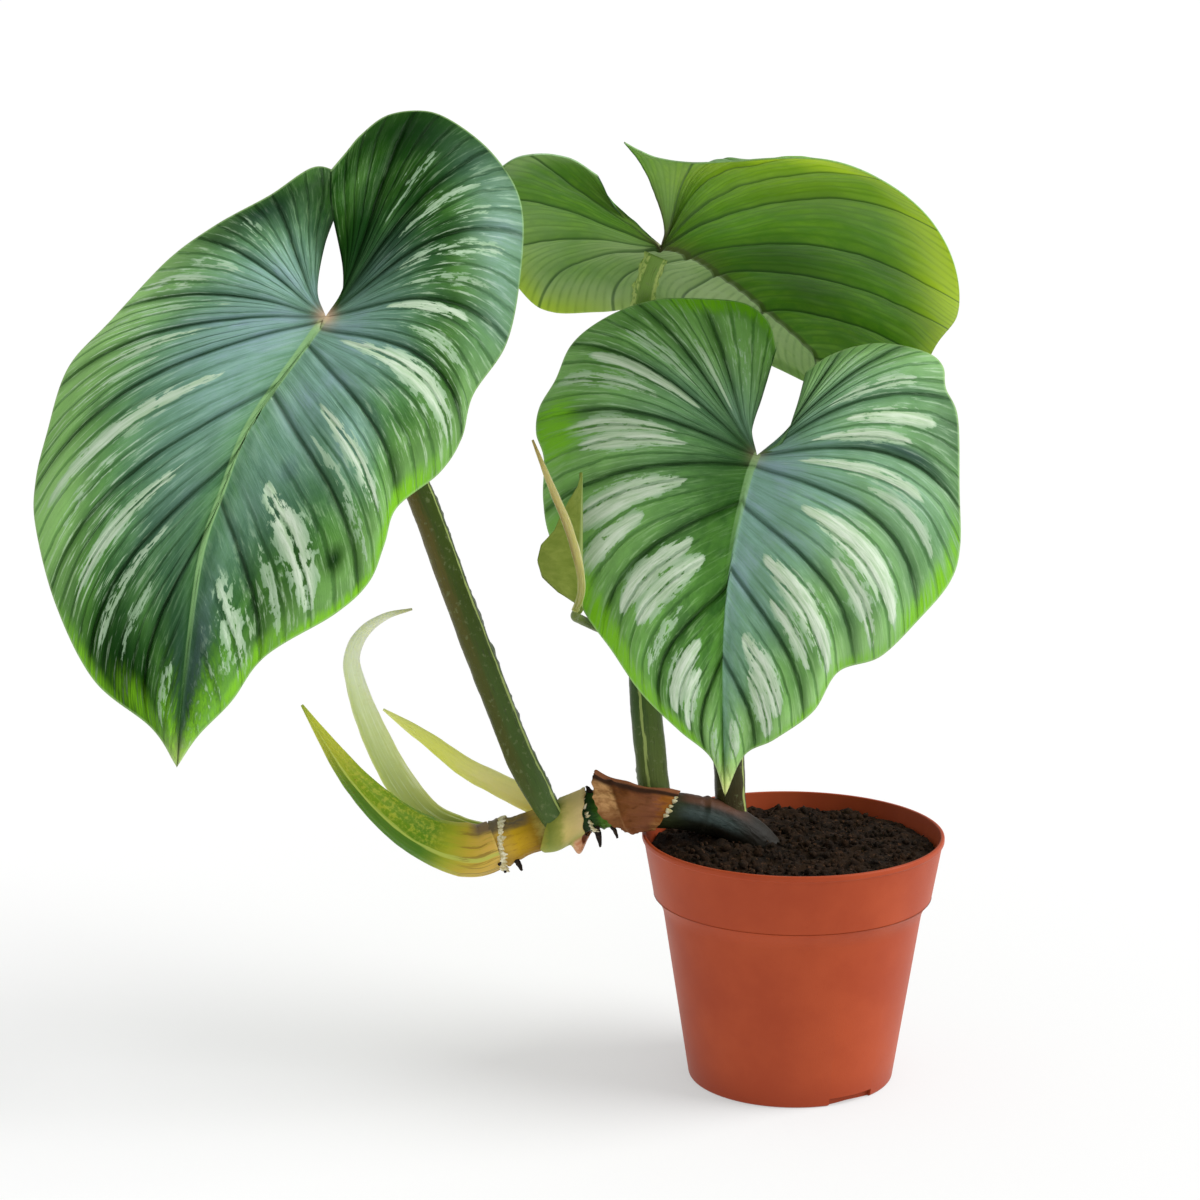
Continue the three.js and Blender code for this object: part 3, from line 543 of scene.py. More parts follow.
def turned(profile, segments):
    """Points and faces of a profile turned round the upright axis."""
    angle = np.linspace(0, 2 * math.pi, segments, endpoint=False)
    points = [(0, 0, profile[0][1])]
    for radius, height in profile[1:-1]:
        points += [(radius * math.cos(a), radius * math.sin(a), height) for a in angle]
    points.append((0, 0, profile[-1][1]))
    rings = len(profile) - 2
    last = len(points) - 1
    faces = []
    for k in range(segments):
        after = (k + 1) % segments
        faces.append((0, 1 + after, 1 + k))
        for ring in range(rings - 1):
            a = 1 + ring * segments
            faces.append((a + k, a + after, a + segments + after, a + segments + k))
        faces.append((last, 1 + (rings - 1) * segments + k, 1 + (rings - 1) * segments + after))
    return points, faces


# %% [markdown]
# The plastic is nearly even in colour, with faint marks from the mould that run round the pot.
# The light that it throws back on the white floor is made greyer than the pot itself, because
# the photograph's floor has no orange glow.

# %% The pot's finish
tree, shader, terracotta = new_finish("moulded terracotta plastic", 0.46)
spot = tree.node("ShaderNodeTexCoord").outputs["Object"]
height = tree.node("ShaderNodeSeparateXYZ", {0: spot}).outputs["Z"]
body = tree.mix(mottling(tree, 26.0, 0.3, 0.7), linear(168, 66, 31), linear(180, 76, 38))
body = tree.mix(mottling(tree, 900.0, 0.62, 0.78), body, linear(170, 66, 30))
body = tree.mix(tree.step(height, 0.016, 0.0), body, linear(164, 64, 30))
thrown_back = tree.node("ShaderNodeLightPath").outputs["Is Diffuse Ray"]
body = tree.mix(tree.times(thrown_back, 0.75), body, linear(112, 104, 98))
rings = tree.noise(tree.vector(0.0, 0.0, height), 900.0, 3.0)
grain = mottling(tree, 2600.0, 0.2, 0.8)
marks = tree.plus(tree.times(rings, 0.6), tree.times(grain, 0.5))
set_skin(tree, shader, body, marks, 0.05)
print("pot finish:", terracotta.name)

# %% Cut the holes and place the pot
points, faces = turned(soft_corners(POT_PROFILE), POT_SEGMENTS)
pot = new_piece("nursery_pot", points, faces, [terracotta])


def cut_out(piece, cutter_mesh, name):
    """Takes a cutter's shape out of a piece and clears the cutter away."""
    data = bpy.data.meshes.new(name)
    cutter_mesh.to_mesh(data)
    cutter_mesh.free()
    cutter = bpy.data.objects.new(name, data)
    bpy.context.scene.collection.objects.link(cutter)
    modifier = piece.modifiers.new(name, "BOOLEAN")
    modifier.operation = "DIFFERENCE"
    modifier.solver = "EXACT"
    modifier.object = cutter
    bpy.context.view_layer.update()
    evaluated = piece.evaluated_get(bpy.context.evaluated_depsgraph_get())
    result = bpy.data.meshes.new_from_object(evaluated)
    piece.modifiers.clear()
    piece.data = result
    bpy.data.objects.remove(cutter)
    bpy.data.meshes.remove(data)


NOTCH_REACH = 8
CUTTER_DEPTH_M = 0.02
HOLE_SEGMENTS = 28

cutters = bmesh.new()
for k in range(DRAIN_HOLE_COUNT):
    angle = 2 * math.pi * (k + 0.5) / DRAIN_HOLE_COUNT
    where = Vector((math.cos(angle), math.sin(angle), 0)) * DRAIN_HOLE_CIRCLE * MM
    bmesh.ops.create_cone(
        cutters, cap_ends=True, segments=HOLE_SEGMENTS, depth=CUTTER_DEPTH_M,
        radius1=DRAIN_HOLE_RADIUS * MM, radius2=DRAIN_HOLE_RADIUS * MM, matrix=Matrix.Translation(where),
    )
for azimuth in FOOT_NOTCH_AZIMUTHS:
    size = Matrix.Diagonal((FOOT_NOTCH_WIDTH * MM, 2 * NOTCH_REACH * MM, 2 * FOOT_NOTCH_HEIGHT * MM, 1))
    where = Matrix.Translation((0, -(CHANNEL_OUTER + NOTCH_REACH) * MM, 0))
    turn = Matrix.Rotation(math.radians(azimuth), 4, "Z")
    bmesh.ops.create_cube(cutters, size=1, matrix=turn @ where @ size)
cut_out(pot, cutters, "pot cutters")
pot.data.set_sharp_from_angle(angle=math.radians(SHARP_DEGREES))
standing_for(pot, "pot")

# %% [markdown]
# ## The soil
#
# Potting soil is dark, moist and full of crumbs. Its top is a disc that follows the solid's
# mounds, roughened in several sizes. Loose crumbs and a few fibres lie on it, made as real
# lumps in the same mesh, because flat noise looks painted at the rim.

# %% The soil's top and plug
SOIL_LEVEL = 102.5
SOIL_SEED = 11
SOIL_RINGS = 64
SOIL_SPOKES = 200
SOIL_BOTTOM = POT_FLOOR + 0.3
SOIL_CLEARANCE = 0.6
# The wall is measured this far below the soil's level, and the soil's edge dips a little
SOIL_WALL_DROP = 3
SOIL_EDGE_DIP = 1
# Height, size in millimetres and seed of the crumbs pressed into the top
SOIL_LUMPS = [(1.1, 5, 1), (0.8, 2.2, 2), (0.5, 1.1, 3)]

soil_random = np.random.default_rng(SOIL_SEED)
soil_gap = WALL + SOIL_CLEARANCE
band_slope = (RIM_RADIUS - BAND_RADIUS) / (POT_HEIGHT - BAND_BOTTOM)
soil_radius = BAND_RADIUS + band_slope * (SOIL_LEVEL - SOIL_WALL_DROP - BAND_BOTTOM) - soil_gap


def soil_height(x, y):
    """The solid's mounds, a little higher round the stem."""
    waves = (
        np.sin(x * 0.19 + 1.1) * np.cos(y * 0.23 + 0.4)
        + 0.6 * np.sin(x * 0.51 + y * 0.37)
        + 0.4 * np.cos(x * 0.33 - y * 0.71 + 2)
    )
    mound = 2.5 * np.exp(-((x + 34) ** 2 + (y - 2) ** 2) / 500)
    return SOIL_LEVEL + 0.8 * waves + mound


def soil_top(x, y):
    """The mounds with crumbs of several sizes pressed into them."""
    flat = np.stack([x, y, 0 * x], axis=-1)
    rough = sum(height * lumps(flat, size, seed) for height, size, seed in SOIL_LUMPS)
    return soil_height(x, y) + rough


radius = (np.linspace(0, 1, SOIL_RINGS + 1)[1:, None]) * soil_radius
angle = np.linspace(0, 2 * math.pi, SOIL_SPOKES, endpoint=False)[None]
x, y = radius * np.cos(angle), radius * np.sin(angle)
z = soil_top(x, y)
z[-1] = soil_height(x[-1], y[-1]) - SOIL_EDGE_DIP
soil_rings = [np.stack([x, y, z], axis=-1).reshape(-1, 3)]
for wall_radius, wall_height in (
    (BAND_RADIUS - soil_gap, BAND_BOTTOM),
    (SHOULDER_RADIUS - soil_gap, SHOULDER_HEIGHT),
    (BASE_RADIUS - soil_gap, SOIL_BOTTOM),
):
    ring = np.stack([wall_radius * np.cos(angle[0]), wall_radius * np.sin(angle[0]), 0 * angle[0]], axis=-1)
    soil_rings.append(ring + (0, 0, wall_height))
top_middle = (0, 0, float(soil_height(0, 0)))
soil_parts = [np.vstack([*soil_rings, top_middle, (0, 0, SOIL_BOTTOM)])]
soil_faces = tube_faces(SOIL_SPOKES, SOIL_RINGS + 2)
print("soil plug with", len(soil_faces), "faces")

# %% Loose crumbs and fibres
CRUMB_COUNT = 1500
FIBRE_COUNT = 40
FIBRE_RADII = [0.22, 0.3, 0.15]
FIBRE_SIDES = 5
FIBRE_STEPS = 10
FULL_TURN = 6.28
# How far inside the soil's edge the crumbs and the fibres stay
CRUMB_MARGIN = 2.5
FIBRE_MARGIN = 7

template = bmesh.new()
bmesh.ops.create_icosphere(template, subdivisions=1, radius=1)
ball = np.array([vertex.co for vertex in template.verts])
ball_faces = [tuple(vertex.index for vertex in face.verts) for face in template.faces]
template.free()

offset = len(soil_parts[0])
for _ in range(CRUMB_COUNT):
    reach = (soil_radius - CRUMB_MARGIN) * math.sqrt(soil_random.random())
    turn = 2 * math.pi * soil_random.random()
    size = 0.5 + 1.7 * soil_random.random() ** 3
    stretch = soil_random.uniform(0.55, 1.25, 3)
    spin = Matrix.Rotation(soil_random.uniform(0, FULL_TURN), 3, Vector(soil_random.normal(size=3)))
    bumps = 1 + 0.28 * soil_random.normal(size=(len(ball), 1)).clip(-1, 1)
    lump = (ball * bumps * stretch * size) @ np.array(spin).T
    cx, cy = reach * math.cos(turn), reach * math.sin(turn)
    sink = soil_random.uniform(-0.2, 0.55) * size
    soil_parts.append(lump + (cx, cy, float(soil_height(cx, cy)) + sink))
    soil_faces += [tuple(corner + offset for corner in face) for face in ball_faces]
    offset += len(ball)

for _ in range(FIBRE_COUNT):
    reach = (soil_radius - FIBRE_MARGIN) * math.sqrt(soil_random.random())
    turn, heading = soil_random.uniform(0, FULL_TURN, 2)
    length = soil_random.uniform(3, 9)
    start = np.array([reach * math.cos(turn), reach * math.sin(turn), 0])
    step = np.array([math.cos(heading), math.sin(heading), 0]) * length / 3
    path = [start + step * k + soil_random.normal(size=3) * 0.8 for k in range(4)]
    path = [(p[0], p[1], float(soil_height(p[0], p[1])) + 1.2 + 0.3 * k) for k, p in enumerate(path)]
    add_tube(soil_parts, soil_faces, path, FIBRE_RADII, FIBRE_SIDES, FIBRE_STEPS)
print(CRUMB_COUNT, "crumbs and", FIBRE_COUNT, "fibres")

# %% The soil's finish
tree, shader, potting_mix = new_finish("potting mix", 0.92)
dark = tree.mix(mottling(tree, 160.0, 0.35, 0.65), linear(26, 16, 7), linear(52, 34, 18))
brown = tree.mix(mottling(tree, 520.0, 0.56, 0.72), dark, linear(92, 62, 40))
set_skin(tree, shader, brown, mottling(tree, 1500.0, 0.2, 0.8), 0.5)

soil = new_piece("soil_bed", np.vstack(soil_parts), soil_faces, [potting_mix])
standing_for(soil, "soil")

# %% [markdown]
# ## The creeping stem
#
# The stem is a thick rhizome. It rises from the soil, lies on the rim and ends in a pointed
# sheath. At each node an old sheath has left a collar of pale torn fibres, and roots have
# started below. The stem changes colour from node to node, so a colour ramp along it does
# most of the work, and fibres along the growth break it up.

# %% The stem's form
STEM_PATH = [
    (-2, 10, 84), (-8, 9, 94), (-17, 7, 104), (-29, 5, 112), (-43, 2, 117),
    (-58, 0, 119.2), (-74, -2, 120.4), (-88, -2, 119.2), (-100, -2, 114.5),
    (-113, -2.5, 109.5), (-122, -3, 106.3), (-128, -3, 104.4),
]
STEM_RADII = [5, 7.5, 8, 8.1, 8.1, 8, 7.9, 7.8, 7.8, 8.6, 9, 8.9, 8.9, 10.8]
STEM_SIDES = 64
STEM_STEPS = 240
# Places along the stem of the collars that old sheaths left
STEM_NODES = (0.35, 0.66, 0.745, 0.795, 0.975)


def stem_relief(rings, angle, t):
    """Collars at the nodes, faint growth rings and slight unevenness."""
    collars = sum(
        0.55 * hump(t - node, 0.006) - 0.35 * hump(t - node - 0.016, 0.008) for node in STEM_NODES
    )
    ridges = 0.12 * np.sin(angle * 17 + 9 * t) * smooth((t - 0.5) * 6)
    return collars + ridges + 0.35 * lumps(rings, 6, 4) + 0.15 * lumps(rings, 1.6, 5)


tree, shader, stem_skin = new_finish("creeping stem", 0.5)
along, left, back = (tree.field(field) for field in ("along", "left", "back"))
streak = growth(tree, (left, 7.0), (along, 30.0), back)
wander = tree.stray(along, streak, 0.03)
skin = tree.ramp(wander, [
    (0.0, linear(30, 24, 16)), (0.3, linear(30, 28, 20)), (0.4, linear(34, 40, 30)),
    (0.55, linear(70, 84, 40)), (0.64, linear(88, 140, 20)), (0.69, linear(24, 66, 10)),
    (0.735, linear(28, 60, 14)), (0.765, linear(206, 196, 132)), (0.84, linear(190, 176, 90)),
    (0.875, linear(164, 126, 12)), (0.93, linear(204, 164, 20)), (1.0, linear(206, 172, 84)),
])
# A bare band of the stem gets a painted bluish-grey highlight, and a brown top
light = tree.times(tree.step(along, 0.2, 0.3), tree.step(along, 0.46, 0.4))
painted_stem_highlight = tree.times(light, tree.step(tree.math("ABSOLUTE", tree.plus(left, 0.2)), 0.5, 0.1))
skin = tree.mix(tree.times(painted_stem_highlight, 0.7), skin, linear(74, 90, 88))
skin = tree.mix(tree.times(light, tree.step(left, -0.6, -0.85)), skin, linear(92, 60, 44))
brown = tree.times(tree.step(streak, 0.52, 0.7), 0.4)
skin = tree.mix(brown, skin, linear(180, 150, 120), "MULTIPLY")
# Painted shade darkens the stem's lower side
shade = tree.times(tree.step(left, 0.1, 1.0), 0.5)
skin = tree.mix(shade, skin, linear(150, 120, 90), "MULTIPLY")
fold = tree.times(tree.step(along, 0.86, 0.9), tree.step(left, -0.55, -0.8))
skin = tree.mix(tree.times(fold, tree.step(streak, 0.3, 0.6, 0.6, 0.9)), skin, linear(98, 88, 74))
set_skin(tree, shader, skin, streak, 0.5)

stem_parts, angle, t = raised_tube(STEM_PATH, STEM_RADII, STEM_SIDES, STEM_STEPS, relief=stem_relief)
stem_faces = tube_faces(STEM_SIDES, STEM_STEPS)
print("stem with", STEM_STEPS + 1, "rings")

# %% [markdown]
# The torn collars are small pointed fibres, each a thin six-sided cone that leans out along
# the stem. They join the stem's mesh, because they grow from it. The root stubs are a piece of
# their own with a dark dull finish.

# %% Collar fibres
COLLARS = [
    {
        "at": (-125.8, -3, 104.6), "toward": (1, 0, 0.05), "ring": 11.1,
        "count": 44, "length": 3.4, "thick": 1.5,
    },
    {
        "at": (-88.6, -2, 118.8), "toward": (1, 0, 0.35), "ring": 9.8,
        "count": 26, "length": 2.8, "thick": 0.9,
    },
]
CONE_SIDES = 6
CONE_STEPS = 5
COLLAR_SEED = 5

collar_random = np.random.default_rng(COLLAR_SEED)


def collar_fibres(at, toward, ring, count, length, thick):
    """The foot, bend and tip of each cone round a node, and its radii."""
    along = np.array(toward, float) / np.linalg.norm(toward)
    side = np.array([0, 1, 0], float)
    up = np.cross(side, along)
    cones = []
    for k in range(count):
        angle = 2 * math.pi * (k + collar_random.uniform(-0.3, 0.3)) / count
        out = side * math.cos(angle) + up * math.sin(angle)
        lean = along * collar_random.uniform(0.4, 1)
        lean = lean + np.cross(along, out) * collar_random.uniform(-0.4, 0.4)
        foot = np.array(at) + out * (ring - 1.2)
        tip = np.array(at) + out * (ring + collar_random.uniform(0.5, 1)) + lean * length
        radii = [thick * share for share in (1, 0.85, 0.5, 0.15)]
        cones.append(([foot, (foot + tip) / 2 + out * 0.25, tip], radii))
    return cones


skin_count = len(stem_faces)
for collar in COLLARS:
    for line, radii in collar_fibres(**collar):
        add_tube(stem_parts, stem_faces, line, radii, CONE_SIDES, CONE_STEPS)

tree, shader, fibre_finish = new_finish("torn sheath fibres", 0.7)
tree.put(shader.inputs["Base Color"], tree.mix(
    mottling(tree, 500.0, 0.4, 0.6), linear(238, 232, 200), linear(200, 186, 132)
))

finish_of_face = [0] * skin_count + [1] * (len(stem_faces) - skin_count)
stem = new_piece("rhizome", np.vstack(stem_parts), stem_faces, [stem_skin, fibre_finish], finish_of_face)
mark(stem, rest=0.5, along=t)
mark(stem, left=np.cos(angle), back=np.sin(angle))
standing_for(stem, "stem")

# %% Root stubs
ROOT_SIDES = 18
ROOT_STEPS = 20
# The foot, the tip and the radius of each
ROOT_STUBS = [
    ((-84.5, -7, 113), (-83, -9.5, 105.2), 1.4),
    ((-78, -6, 114), (-75.6, -8.5, 109), 1.1),
    ((-88, 4, 113), (-87, 8, 106.5), 1.3),
    ((-85.5, -3, 125), (-89, -4, 130.6), 1.5),
    ((-119.6, -7, 99.5), (-116.4, -9, 94.6), 1.3),
    ((-125.2, -7, 98.5), (-123.6, -9.5, 93.8), 1.2),
    ((-120, 2, 99), (-117, 6, 95.4), 1.2),
    ((-126, -9, 101), (-126.2, -13.9, 98.4), 1.5),
]
tree, shader, root_finish = new_finish("root stubs", 0.75)
dark = tree.mix(mottling(tree, 450.0, 0.45, 0.7), linear(34, 28, 24), linear(78, 64, 50))
set_skin(tree, shader, dark, mottling(tree, 1400.0, 0.2, 0.8), 0.3)

root_parts = []
root_faces = []
for foot, tip, radius in ROOT_STUBS:
    foot, tip = np.array(foot, float), np.array(tip, float)
    core = foot + (foot - tip) * 0.25
    bend = (foot + tip) / 2 + (0.3, 0.3, -0.6)
    radii = [radius, radius, radius * 0.8, 0.45]
    add_tube(
        root_parts, root_faces, [core, foot, bend, tip], radii, ROOT_SIDES, ROOT_STEPS,
        lambda rings: 0.25 * lumps(rings, 1.5, 6)[..., None],
    )
roots = new_piece("root_stubs", np.vstack(root_parts), root_faces, [root_finish])
print(len(ROOT_STUBS), "root stubs")

# %% [markdown]
# ## The leaf stalks
#
# A stalk is slightly flattened at the back and carries two thin pale ragged wings.
# The wings come from the section's shape, and an uneven ruffle runs up them. The left stalk
# is olive brown on its left and dark green on its right, and the others are darker.

# %% Stalk section and paths
WING = 0.16
STALK_SIDES = 56
STALK_STEPS = 260
# Each radius pair: across the view, and toward the back
STALKS = {
    "stalk_left": {
        "path": [
            (-97.5, -8, 108.6), (-100, -10.6, 113), (-106, -10.5, 123.5), (-116.5, -6, 142.7),
            (-128.4, -4, 173), (-144, -8, 217.4), (-157, -15, 257), (-171.5, -22, 293),
            (-184, -28, 320), (-190.4, -33.5, 331),
        ],
        "radii": [
            (4, 4), (6.4, 6), (6.1, 6.2), (6.2, 6.2), (6, 6), (5.9, 5.9), (5.6, 5.6), (5, 5), (4.2, 4.2),
        ],
    },
    "stalk_back": {
        "path": [
            (-59, 4.5, 119), (-60, 8, 128.6), (-62, 10, 147.3), (-64, 14, 168.5), (-66, 21, 207),
            (-67.6, 30, 249.5), (-67.6, 39, 291.9), (-66, 43, 325), (-62.4, 43.5, 343), (-58.6, 44.4, 352),
        ],
        "radii": [(6.6, 6), (6.8, 6.2), (6, 6), (5.6, 5.6), (5.2, 5.2), (5, 5), (4.8, 4.8), (4.4, 4.2)],
    },
    "stalk_front": {
        "path": [
            (-25, 8, 110), (-26.5, 9, 121), (-27.4, 10, 136.4), (-28.4, 13, 164.6),
            (-27.7, 16, 199.2), (-25, 16, 234), (-21.5, 10, 258), (-18.4, -1.4, 271.8),
        ],
        "radii": [(6.4, 6.2), (6.7, 6.3), (6.2, 6.2), (5.8, 5.8), (5.4, 5.4), (5, 5), (4.4, 4.2)],
    },
}


def stalk_section(angle, t):
    """Flat at the back, with a ruffled wing at each side that is broad near the blade."""
    flat = 1 - 0.2 * np.maximum(0, np.sin(angle)) ** 3
    wing = hump(np.abs(np.cos(angle)) - 0.87, 0.07)
    spot = np.stack(np.broadcast_arrays(3 * np.cos(angle), 0, 90 * t), axis=-1)
    ruffle = 0.7 + 1.1 * lumps(spot, 2.2, 21) + 0.7 * lumps(spot, 0.7, 22)
    broad_top = 1 + 1.8 * smooth((t - 0.86) * 12)
    return flat + np.where(np.sin(angle) > 0, WING * wing * ruffle * broad_top, 0)


# %% [markdown]
# A stalk has a darker and a lighter side that blend unevenly, another colour at its foot and at
# its top, pale flecks, and one ragged pale line that runs up it. Near the blade both wings are
# broader, pale and frilled.

# %% The stalks' finishes
def stalk_finish(name, line_place, left_colour, right_colour, foot_colour, top_colour, frilled=1):
    """A stalk's skin: two sides, a pale ragged line, frilled wings near the blade, fine streaks."""
    tree, shader, finish = new_finish(name, 0.42)
    along, left, back = (tree.field(field) for field in ("along", "left", "back"))
    streak = growth(tree, (left, 9.0), (along, 22.0), back)
    side = tree.stray(left, streak, 0.9)
    lower_left = tree.mix(0.6, left_colour, right_colour)
    lower_right = tree.mix(0.5, right_colour, foot_colour)
    right_colour = tree.mix(tree.step(along, 0.25, 0.5), lower_right, right_colour)
    left_colour = tree.mix(tree.step(along, 0.25, 0.65), lower_left, left_colour)
    skin = tree.mix(tree.step(side, -0.25, 0.35), right_colour, left_colour)
    skin = tree.mix(tree.step(along, 0.2, 0.02), skin, foot_colour)
    skin = tree.mix(tree.step(along, 0.8, 0.92), skin, top_colour)
    flecks = mottling(tree, 420.0, 0.57, 0.68)
    skin = tree.mix(tree.times(flecks, 0.4), skin, linear(126, 136, 92))
    skin = tree.mix(tree.step(streak, 0.56, 0.74), skin, linear(58, 66, 34))
    inputs = {0: tree.vector(left, back), 1: (line_place, -math.sqrt(1 - line_place**2), 0)}
    edge = tree.node("ShaderNodeVectorMath", inputs, operation="DISTANCE").outputs["Value"]
    torn = tree.times(tree.minus(streak, 0.5), 0.5)
    ragged = tree.step(tree.minus(edge, torn), 0.13, 0.06)
    ragged = tree.times(ragged, tree.step(along, 0.9, 0.84))
    frill = tree.step(tree.plus(tree.math("ABSOLUTE", left), torn), 0.54, 0.74)
    frill = tree.times(frill, tree.step(along, 0.85, 0.9))
    frill = tree.times(frill, mottling(tree, 480.0, 0.4, 0.52))
    ragged = tree.math("MAXIMUM", tree.times(ragged, 0.75), frill)
    skin = tree.mix(tree.times(ragged, frilled), skin, linear(186, 204, 116))
    set_skin(tree, shader, skin, streak, 0.35)
    return finish


olive_stalk = stalk_finish(
    "olive stalk", -0.9,
    linear(94, 84, 28), linear(58, 76, 12), linear(74, 100, 46), linear(92, 96, 34),
)
dark_stalk = stalk_finish(
    "dark green stalk", 0.3,
    linear(36, 58, 28), linear(72, 102, 44), linear(96, 112, 50), linear(122, 156, 70),
)
brown_stalk = stalk_finish(
    "brown green stalk", -0.88,
    linear(62, 68, 28), linear(46, 62, 28), linear(66, 56, 26), linear(60, 84, 30),
)
young_stalk_finish = stalk_finish(
    "young stalk", 0.9,
    linear(96, 114, 44), linear(84, 108, 40), linear(90, 104, 44), linear(104, 122, 44), 0,
)
STALK_FINISHES = {"stalk_left": olive_stalk, "stalk_back": dark_stalk, "stalk_front": brown_stalk}

# %% The stalks' skins
for name, stalk in STALKS.items():
    piece = new_tube(
        f"{name}_skin", stalk["path"], stalk["radii"], STALK_FINISHES[name],
        STALK_SIDES, STALK_STEPS, stalk_section,
        lambda rings, angle, t: 0.25 * lumps(rings, 9, 7) + 0.08 * lumps(rings, 1.8, 8),
    )
    standing_for(piece, name)

# %% [markdown]
# The left stalk's foot widens into a thin leaf base that clasps the stem. It is a bent sheet
# round the stem, olive where it leaves the stalk, cream toward its right edge, and it ends
# below in a small pointed flap.

# %% Clasping leaf base
CLASP_LEFT = np.array([-109, -2.3, 111])
CLASP_RIGHT = np.array([-87.6, -2, 119.2])
CLASP_ROWS = 60
CLASP_COLUMNS = 60
CLASP_THICKNESS = 0.8
CLASP_FROM_DEGREES = -100
CLASP_TURN_DEGREES = 185

share, c = even_grid(CLASP_ROWS, CLASP_COLUMNS)
angle_degrees = CLASP_FROM_DEGREES + CLASP_TURN_DEGREES * c
start = spread([0.55, 0.2, 0.02, 0.12, 0.3, 0.4], c)
end = spread([1.02, 0.95, 0.88, 0.86, 0.9, 0.92], c) + 0.015 * np.sin(37 * c)
along = start + (end - start) * share
round_stalk = hump(angle_degrees + 8, 46) * hump(along - 0.38, 0.34)
flap = hump(along - 0.8, 0.13) * hump(c - 0.12, 0.11)
clasp_radius = 9.6 + 1.2 * smooth(c * 2) + 5.4 * round_stalk + 6.5 * flap + 0.2 * np.sin(21 * c + 6 * along)
angle = np.radians(angle_degrees)
clasp = CLASP_LEFT + (CLASP_RIGHT - CLASP_LEFT) * along[..., None]
clasp = clasp + np.stack([0 * along, -np.cos(angle) * clasp_radius, np.sin(angle) * clasp_radius], axis=-1)
clasp = clasp + 0.25 * lumps(clasp, 4, 17)[..., None] * (0, -1, 0.4)
points, faces = thick_sheet(clasp, CLASP_THICKNESS)

tree, shader, clasp_finish = new_finish("clasping leaf base", 0.5)
around, down = tree.field("around"), tree.field("along")
streak = growth(tree, (around, 14.0), (down, 4.0), 8.0)
wander = tree.stray(down, streak, 0.3)
skin = tree.ramp(wander, [
    (0.0, linear(160, 150, 50)), (0.2, linear(120, 132, 46)), (0.4, linear(150, 152, 66)),
    (0.55, linear(206, 188, 112)), (0.85, linear(220, 196, 134)), (1.0, linear(170, 140, 90)),
])
skin = tree.mix(tree.step(around, 0.5, 0.3, 0.0, 0.8), skin, linear(164, 174, 84))
low = tree.times(tree.step(around, 0.36, 0.24), tree.step(down, 0.62, 0.74))
flap_skin = tree.mix(tree.step(streak, 0.4, 0.6), linear(222, 172, 132), linear(198, 134, 92))
skin = tree.mix(low, skin, flap_skin)
beside = tree.math("POWER", tree.times(tree.minus(around, 0.26), 12.0), 2.0)
below = tree.math("POWER", tree.times(tree.minus(down, 0.9), 14.0), 2.0)
skin = tree.mix(tree.step(tree.plus(beside, below), 1.2, 0.5), skin, linear(96, 48, 18))
set_skin(tree, shader, skin, streak, 0.4)

clasp_piece = new_piece("left_leaf_base", points, faces, [clasp_finish])
mark(clasp_piece, along=np.tile(along.ravel(), 2), around=np.tile(c.ravel(), 2))
print("leaf base with", len(faces), "faces")

# %% [markdown]
# ## The leaf blades
#
# A blade is drawn flat first: an outline for each half, a midrib, and the places where the
# main veins meet the edge. A grid of points then runs along the veins, so the mesh follows
# the growth, and each vein can sink into the blade as a real groove. The solid uses nearly the
# same numbers, so the fine blade lies where the solid one lies.

